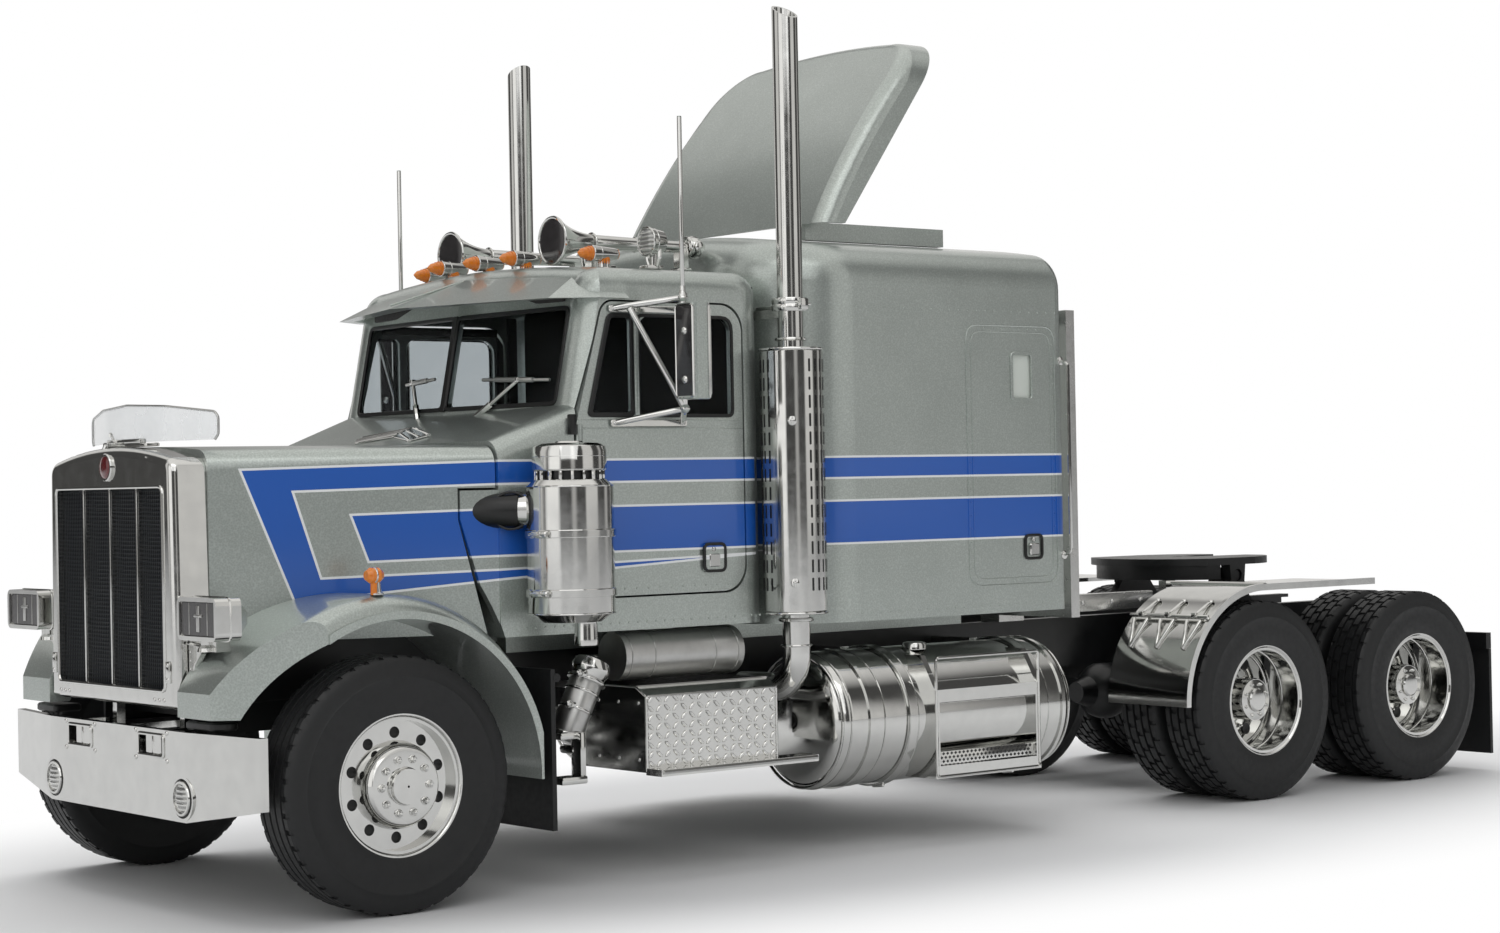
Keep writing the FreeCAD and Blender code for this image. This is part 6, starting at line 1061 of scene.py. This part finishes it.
class OBJECT_OT_truck_cleaners(bpy.types.Operator):
    """Adds the cap studs, band clamps, seams and hoses of the air cleaners"""
    bl_idname = "object.truck_cleaners"
    bl_label = "Air cleaner trim"

    def execute(self, context):
        x, y = -34.3, 48.4
        stud = rod((x + 5.75, y, 70.6), (x + 5.75, y, 72.6), 0.34, 8)
        parts = [spread(stud, [turn("z", 360 * i / 18, (x, y, 0)) for i in range(18)])]
        parts += [hoop("z", (x, y, z), r, t, 48) for z, r, t in
                  ((47.9, 7.45, 0.16), (69.6, 7.42, 0.16), (74.7, 6.3, 0.14), (72.5, 6.25, 0.16))]
        parts += [hoop("z", (x, y, z), 7.69, 0.14, 48) for z in (50.9, 52.0, 61.0, 62.1)]
        for z in (51.45, 61.55):
            clamp = join([block((x + 7.7, y - 1.1, z - 0.5), (x + 8.7, y + 1.1, z + 0.5), 0.2),
                          rod((x + 8.4, y - 1.8, z), (x + 8.4, y + 1.9, z), 0.32, 10),
                          turned("y", (x + 8.4, y + 1.7, z), [(0, 0.55), (0.5, 0.55), (0.7, 0.35)], 8)])
            parts.append(spread(clamp, [turn("z", 12, (x, y, 0))]))
        parts += [turned("z", (x, y, 0), [(72.25, 6.2), (72.5, 6.42), (75.5, 6.42), (76.4, 6.15), (76.9, 5.4),
                                          (77.05, 2.6), (77.3, 2.3), (77.35, 0.8)], 48),
                  turned("z", (-37.2, y, 42.35), [(0, 2.05), (0.5, 2.1), (1.1, 2.05), (3.6, 2.0)], 28),
                  turned("z", (x, y, 45.9), [(0.55, 4.4), (0.75, 4.6), (1.1, 4.6)], 36)]
        settle_both(join(parts), "cleaner_trim", "chassis", "bright_plating")
        neck = turned("z", (x, y, 70.75), [(0, 5.2), (0.1, 5.25), (1.5, 5.25), (1.6, 5.2)], 36)
        hose = rod((-22.6, 35.35, 65.6), (-28.6, 42.05, 65.6), 3.15, 28, 0.12)
        bend = (-27.5, 40.8, 65.6)
        lips = [spread(hoop("x", bend, 3.2, 0.22, 28), [shift(s * 1.1, s * 1.2, 0) @ turn("z", 48, bend)])
                for s in (-1, 1)]
        settle_both(join([neck, hose] + lips), "cleaner_hoses", "chassis", "gasket_rubber")
        return {"FINISHED"}


class OBJECT_OT_truck_tanks(bpy.types.Operator):
    """Adds the tread plate of the side chests, the tank step's mesh with its holes as painted shade, straps, and the
    canisters' bands
    """
    bl_idname = "object.truck_tanks"
    bl_label = "Tanks and steps"

    def execute(self, context):
        y = 45.0
        lug = plate([(-0.85, 0, 0), (-0.45, 0, -0.28), (0.45, 0, -0.28), (0.85, 0, 0), (0.45, 0, 0.28),
                     (-0.45, 0, 0.28)], (0, 0.26, 0), 0, 0.1)
        tilted = copies(lug, [turn("y", a, (0, 0, 0)) for a in (45, -45)])
        flat = []
        for k, one in enumerate(tilted):
            spots = [(i, j) for i in range(16) for j in range(8) if (i + j) % 2 == k]
            flat += copies(one, [shift(-80.9 + 1.85 * i, y, 20.3 + 1.62 * j) for i, j in spots])
        trim = [bead(on_y(y + 0.05, (-81.8, 19.2), (-52.3, 32.2)), 0.24, 0.5),
                rivet_row([(-52.0, a, b) for a in (25, 31, 37, 43) for b in (21, 31)], radius=0.35),
                bead([(-81.8, 42.2, 33.8), (-52.3, 42.2, 33.8)], 0.26, 0, False),
                bead([(-52.1, y, 19.0), (-52.1, y, 32.3), (-52.1, 42.2, 33.8), (-52.1, 23, 33.8)], 0.2, 0.3, False),
                bead([(-87.6, 49.5, 19.2), (-52.4, 49.5, 19.2)], 0.42, 0, False)]
        settle_both(join(flat + trim), "chest_tread", "chassis", "bright_plating")
        self.tank_step()
        bands = [hoop("x", (a, 34.0, 38.9), 4.42, 0.13, 36) for a in (-54.4, -59.6, -73.4, -78.6)]
        settle_both(join(bands), "air_tank_seams", "chassis", "satin_plating")
        self.canisters()
        return {"FINISHED"}

    def tank_step(self):
        """Perforated tread in the step's foot, its holes dark plates of painted shade, its frame edges, tank seams and
        strap bolts.
        """
        # Each hole of the step is a dark plate: painted shade.
        hole = plate([(-0.36, 48.58, 0), (0, 48.58, -0.3), (0.36, 48.58, 0), (0, 48.58, 0.3)], (0, 0.08, 0), 0, 0)
        spots = [(-143.0 + 1.05 * i + 0.5 * (j % 2), 0, 14.2 + 0.75 * j) for i in range(24) for j in range(5)]
        settle_both(spread(hole, [shift(*spot) for spot in spots]), "step_mesh", "chassis", "gasket_rubber")
        parts = [block((-143.9, 48.2, 13.2), (-118.1, 48.6, 17.6), 0.12),
                 bead(on_y(49.6, (-144.6, 13.0), (-117.4, 35.6)), 0.3, 0.7)]
        seams = [(-95.3, 12.6, 0.3), (-97.2, 13.0, 0.16), (-154.6, 12.6, 0.3), (-152.8, 13.0, 0.16),
                 (-105.5, 13.02, 0.12)]
        straps = (-112.5, -147.0)
        seams += [(strap + s * 1.1, 13.45, 0.14) for strap in straps for s in (-1, 1)]
        parts += [hoop("x", (a, 35.3, 24.4), r, t, 72) for a, r, t in seams]
        parts += [rod((strap, 36.5, 10.9), (strap, 39.5, 11.2), 0.4, 8) for strap in straps]
        parts.append(turned("z", (-122.0, 38.5, 36.7), [(0, 2.4), (0.9, 2.4), (1.3, 2.2), (1.5, 1.4)], 28))
        settle_both(join(parts), "tank_trim", "chassis", "bright_plating")

    def canisters(self):
        """Domed caps, bands with thumb screws, and the bright bracket behind the front fender."""
        top, low = Vector((-44.0, 40.0, 37.5)), Vector((-38.0, 40.0, 25.5))
        way = (low - top).normalized()

        def along(first, last, radius, steps, edge):
            """A round bar on the canister's axis, from its top."""
            return rod(top + way * first, top + way * last, radius, steps, edge)

        settle_both(along(0.5, 13.4, 2.95, 36, 0.1), "canister_bodies", "chassis", "satin_plating")
        parts = [along(-1.9, 2.2, 3.5, 36, 0.5), along(-2.35, -1.7, 0.6, 14, 0.4), along(2.0, 2.7, 3.6, 36, 0.08),
                 along(4.2, 4.8, 3.2, 36, 0.08), along(7.6, 8.2, 3.15, 36, 0.08), along(12.4, 13.5, 3.15, 36, 0.1)]
        for step, out in ((2.3, 3.7), (7.9, 3.2)):
            spot = top + way * step + Vector((out * 0.75, out * 0.66, out * 0.35))
            parts += [rod(spot, spot + Vector((1.0, 0.9, 0.4)), 0.45, 10),
                      block(spot - Vector((0.9, 0.3, 0.4)), spot + Vector((0.9, 0.5, 0.5)), 0.2),
                      dome("y", spot + Vector((1.0, 0.8, 0.4)), 0.65, 0.5, 10)]
        parts += [block((-37.6, 44.2, 19.4), (-36.4, 47.2, 27.2), 0.25),
                  block((-37.6, 44.2, 18.4), (-32.2, 47.6, 19.7), 0.25),
                  block((-37.6, 44.2, 26.0), (-33.0, 46.2, 27.2), 0.25),
                  rod((-37.0, 41.0, 24.0), (-37.0, 45.0, 24.0), 0.8, 14)]
        settle_both(join(parts), "canister_trim", "chassis", "bright_plating")


class OBJECT_OT_truck_rear(bpy.types.Operator):
    """Adds the fender crossbars and clips, the deck bars and flap bolts"""
    bl_idname = "object.truck_rear"
    bl_label = "Rear trim"

    def execute(self, context):
        def arc(degrees, y, out):
            """A point on the quarter fender's curve, or proud of it."""
            angle, far = math.radians(degrees), 24.3 + out
            return (REAR_AXLES[0][1] + far * math.cos(angle), y, WHEEL_Z + far * math.sin(angle))

        parts = [rod(arc(47, 25.0, 0.9), arc(47, 47.0, 0.9), 0.5, 12)]
        for y in (28.5, 36.0, 43.5):
            foot, mid, head = arc(29, y, 0.3), arc(47, y, 1.4), arc(60, y, 0.35)
            parts += [rod(mid, head, 0.42, 10), rod(arc(45, y - 1.9, 0.8), foot, 0.42, 10),
                      rod(arc(45, y + 1.9, 0.8), foot, 0.42, 10), dome("z", head, 0.7, 0.5, 12), cube(mid, 0.6)]
        settle_both(join(parts), "fender_clips", "chassis", "bright_plating")
        bars = block((-209.0, 18.6, 40.6), (-168.0, 20.9, 44.4), 0.3)
        bolts = rivet_row([(a, 20.9, 42.5) for a in (-205, -196, -187, -178)], "y", radius=0.6)
        settle_both(join([bars, bolts]), "deck_bars", "chassis", "polished_bar")
        flap = [dome("x", (-293.7, y, 30.0), 0.8, 0.7, 14) for y in (29.0, 36.5, 44.0)]
        flap += [block((-293.9, 26.4, 29.0), (-293.4, 46.6, 31.2), 0.2)]
        settle_both(join(flap), "flap_bars", "chassis", "satin_plating")
        return {"FINISHED"}


NODE_FINISHES = {
    "striped_lacquer": ("hood", "cab_shell", "door_left", "door_right", "sleeper_shell"),
    "silver_lacquer": ("front_fenders", "sleeper_roof", "sun_visor", "roof_fairing"),
    "bright_plating": ("rim_front_left", "rim_front_right", "rim_mid_left", "rim_mid_right", "rim_rear_left",
                       "rim_rear_right", "front_bumper", "air_horns", "spotlight", "exhaust_stacks", "air_cleaners",
                       "fuel_tanks", "step_boxes", "quarter_fenders", "grille_shell", "headlamps"),
    "satin_plating": ("air_tanks",),
    "polished_bar": ("rear_rack",),
    "tyre_vinyl": ("tyre_front_left", "tyre_front_right", "tyres_mid_left", "tyres_mid_right", "tyres_rear_left",
                   "tyres_rear_right"),
    "chassis_black": ("frame_rails", "front_axle", "knuckle_left", "knuckle_right", "tie_rod", "rear_axles",
                      "rear_suspension", "radiator", "fifth_wheel_base", "fifth_wheel_plate"),
    "engine_enamel": ("engine_block",),
    "interior_vinyl": ("seats", "dashboard"),
    "clear_pane": ("windshield", "door_glass_left", "door_glass_right"),
    "shield_sheet": ("bug_shield",),
    "frosted_pane": ("sleeper_glass",),
    "amber_lens": ("roof_lamps", "marker_lamps"),
    "flap_rubber": ("mud_flaps",),
}


class OBJECT_OT_truck_finishes(bpy.types.Operator):
    """Gives every solid of the truck its finish"""
    bl_idname = "object.truck_finishes"
    bl_label = "Finishes"

    def execute(self, context):
        for finish, names in NODE_FINISHES.items():
            for name in names:
                paint(NODES[name], finish)
        return {"FINISHED"}


class OBJECT_OT_truck_stage(bpy.types.Operator):
    """Adds the floor, the soft lights, the world and the camera"""
    bl_idname = "object.truck_stage"
    bl_label = "Stage"

    def execute(self, context):
        scene = context.scene
        fresh()
        bpy.ops.mesh.primitive_plane_add(size=6, location=(0, 0, 0))
        floor = context.object
        shape(floor, "EDGE", "SELECT")
        bpy.ops.mesh.subdivide(number_cuts=3)
        bpy.ops.object.mode_set(mode="OBJECT")
        floor.name = "floor"
        paint(floor, "floor_sweep")
        world = bpy.data.worlds.new("studio")
        scene.world = world
        world.use_nodes = True
        studio(world.node_tree)
        for name, spot, size, power in LIGHTS:
            lamp = bpy.data.lights.new(name, "AREA")
            lamp.energy = power
            lamp.size = size
            held = bpy.data.objects.new(name, lamp)
            held.location = spot
            held.visible_glossy = name != "top"
            held.rotation_euler = (Vector((0, 0, 0.06)) - Vector(spot)).to_track_quat("-Z", "Y").to_euler()
            scene.collection.objects.link(held)
        yaw, pitch, roll = (math.radians(v) for v in CAMERA_TURNS)
        ahead = Vector((math.cos(pitch) * math.cos(yaw), math.cos(pitch) * math.sin(yaw), math.sin(pitch)))
        side = Vector((math.sin(yaw), -math.cos(yaw), 0))
        up = side.cross(ahead)
        right = side * math.cos(roll) + up * math.sin(roll)
        top = up * math.cos(roll) - side * math.sin(roll)
        lens = bpy.data.cameras.new("photo")
        lens.sensor_width = 36
        lens.lens = lens.sensor_width * FOCAL / PHOTO_WIDTH
        camera = bpy.data.objects.new("photo", lens)
        turned_so = Matrix((right, top, -ahead)).transposed().to_4x4()
        camera.matrix_world = Matrix.Translation(at(*CAMERA_AT)) @ turned_so
        scene.collection.objects.link(camera)
        scene.camera = camera
        scene.view_settings.view_transform = "Standard"
        return {"FINISHED"}


def studio(tree):
    """White to the camera; to bright metal a pale room with dark stands and a bright ceiling."""
    tree.nodes.clear()
    rays = add(tree, "LightPath")
    way = add(tree, "SeparateXYZ", {0: add(tree, "TexCoord").outputs["Generated"]})
    round_it = calc(tree, "ARCTAN2", way.outputs[1], way.outputs[0])
    wave = calc(tree, "ADD", calc(tree, "SINE", calc(tree, "MULTIPLY_ADD", round_it, 3.0, 1.8)),
                calc(tree, "SINE", calc(tree, "MULTIPLY", round_it, 7.0)))
    soft = {"interpolation_type": "SMOOTHSTEP"}
    stands = ramp(tree, wave, -0.4, 0.5, 0.1, 1.0, **soft)
    height = way.outputs[2]
    ceiling = ramp(tree, height, 0.55, 0.85, 0.0, 1.0, **soft)
    horizon = ramp(tree, calc(tree, "ABSOLUTE", calc(tree, "SUBTRACT", height, 0.1)), 0.0, 0.12, 0.75, 0.0, **soft)
    room = calc(tree, "MAXIMUM", calc(tree, "MULTIPLY", stands, 0.72), calc(tree, "MULTIPLY", ceiling, 0.95))
    room = calc(tree, "MAXIMUM", room, calc(tree, "MULTIPLY", horizon, stands))
    seen = calc(tree, "MAXIMUM", rays.outputs["Is Camera Ray"], rays.outputs["Is Transmission Ray"])
    plain = add(tree, "Background", {0: (0.97, 0.98, 1.0, 1.0), 1: 0.3})
    mirrored = add(tree, "Background", {0: (1.0, 0.985, 0.96, 1.0), 1: room})
    white = add(tree, "Background", {0: (1.0, 1.0, 1.0, 1.0), 1: 1.0})
    light = add(tree, "MixShader", {0: rays.outputs["Is Glossy Ray"], 1: plain.outputs[0], 2: mirrored.outputs[0]})
    mix = add(tree, "MixShader", {0: seen, 1: light.outputs[0], 2: white.outputs[0]})
    add(tree, "OutputWorld", {0: mix.outputs[0]})


class VIEW3D_PT_truck(bpy.types.Panel):
    """Shows the truck's colours and sizes, and a button for each of its operators"""
    bl_label = "Truck"
    bl_space_type = "VIEW_3D"
    bl_region_type = "UI"
    bl_category = "Truck"

    def draw(self, context):
        layout = self.layout
        for group, held in ((TruckColours, context.scene.truck_colours), (TruckSizes, context.scene.truck_sizes)):
            for name in group.__annotations__:
                layout.prop(held, name)
        for operator in OPERATORS:
            layout.operator(operator.bl_idname)


OPERATORS = (OBJECT_OT_truck_finishes, OBJECT_OT_truck_tyres, OBJECT_OT_truck_rims, OBJECT_OT_truck_nose,
             OBJECT_OT_truck_lamps, OBJECT_OT_truck_windows, OBJECT_OT_truck_cab, OBJECT_OT_truck_roof,
             OBJECT_OT_truck_sleeper, OBJECT_OT_truck_stacks, OBJECT_OT_truck_cleaners, OBJECT_OT_truck_tanks,
             OBJECT_OT_truck_rear, OBJECT_OT_truck_stage)
CLASSES = (TruckColours, TruckSizes) + OPERATORS + (VIEW3D_PT_truck,)


def register():
    for each in CLASSES:
        bpy.utils.register_class(each)
    bpy.types.Scene.truck_colours = bpy.props.PointerProperty(type=TruckColours)
    bpy.types.Scene.truck_sizes = bpy.props.PointerProperty(type=TruckSizes)


def unregister():
    del bpy.types.Scene.truck_colours
    del bpy.types.Scene.truck_sizes
    for each in reversed(CLASSES):
        bpy.utils.unregister_class(each)


def main():
    register()
    for operator in OPERATORS:
        getattr(bpy.ops.object, operator.bl_idname.split(".")[1])()


if __name__ == "__main__":
    main()
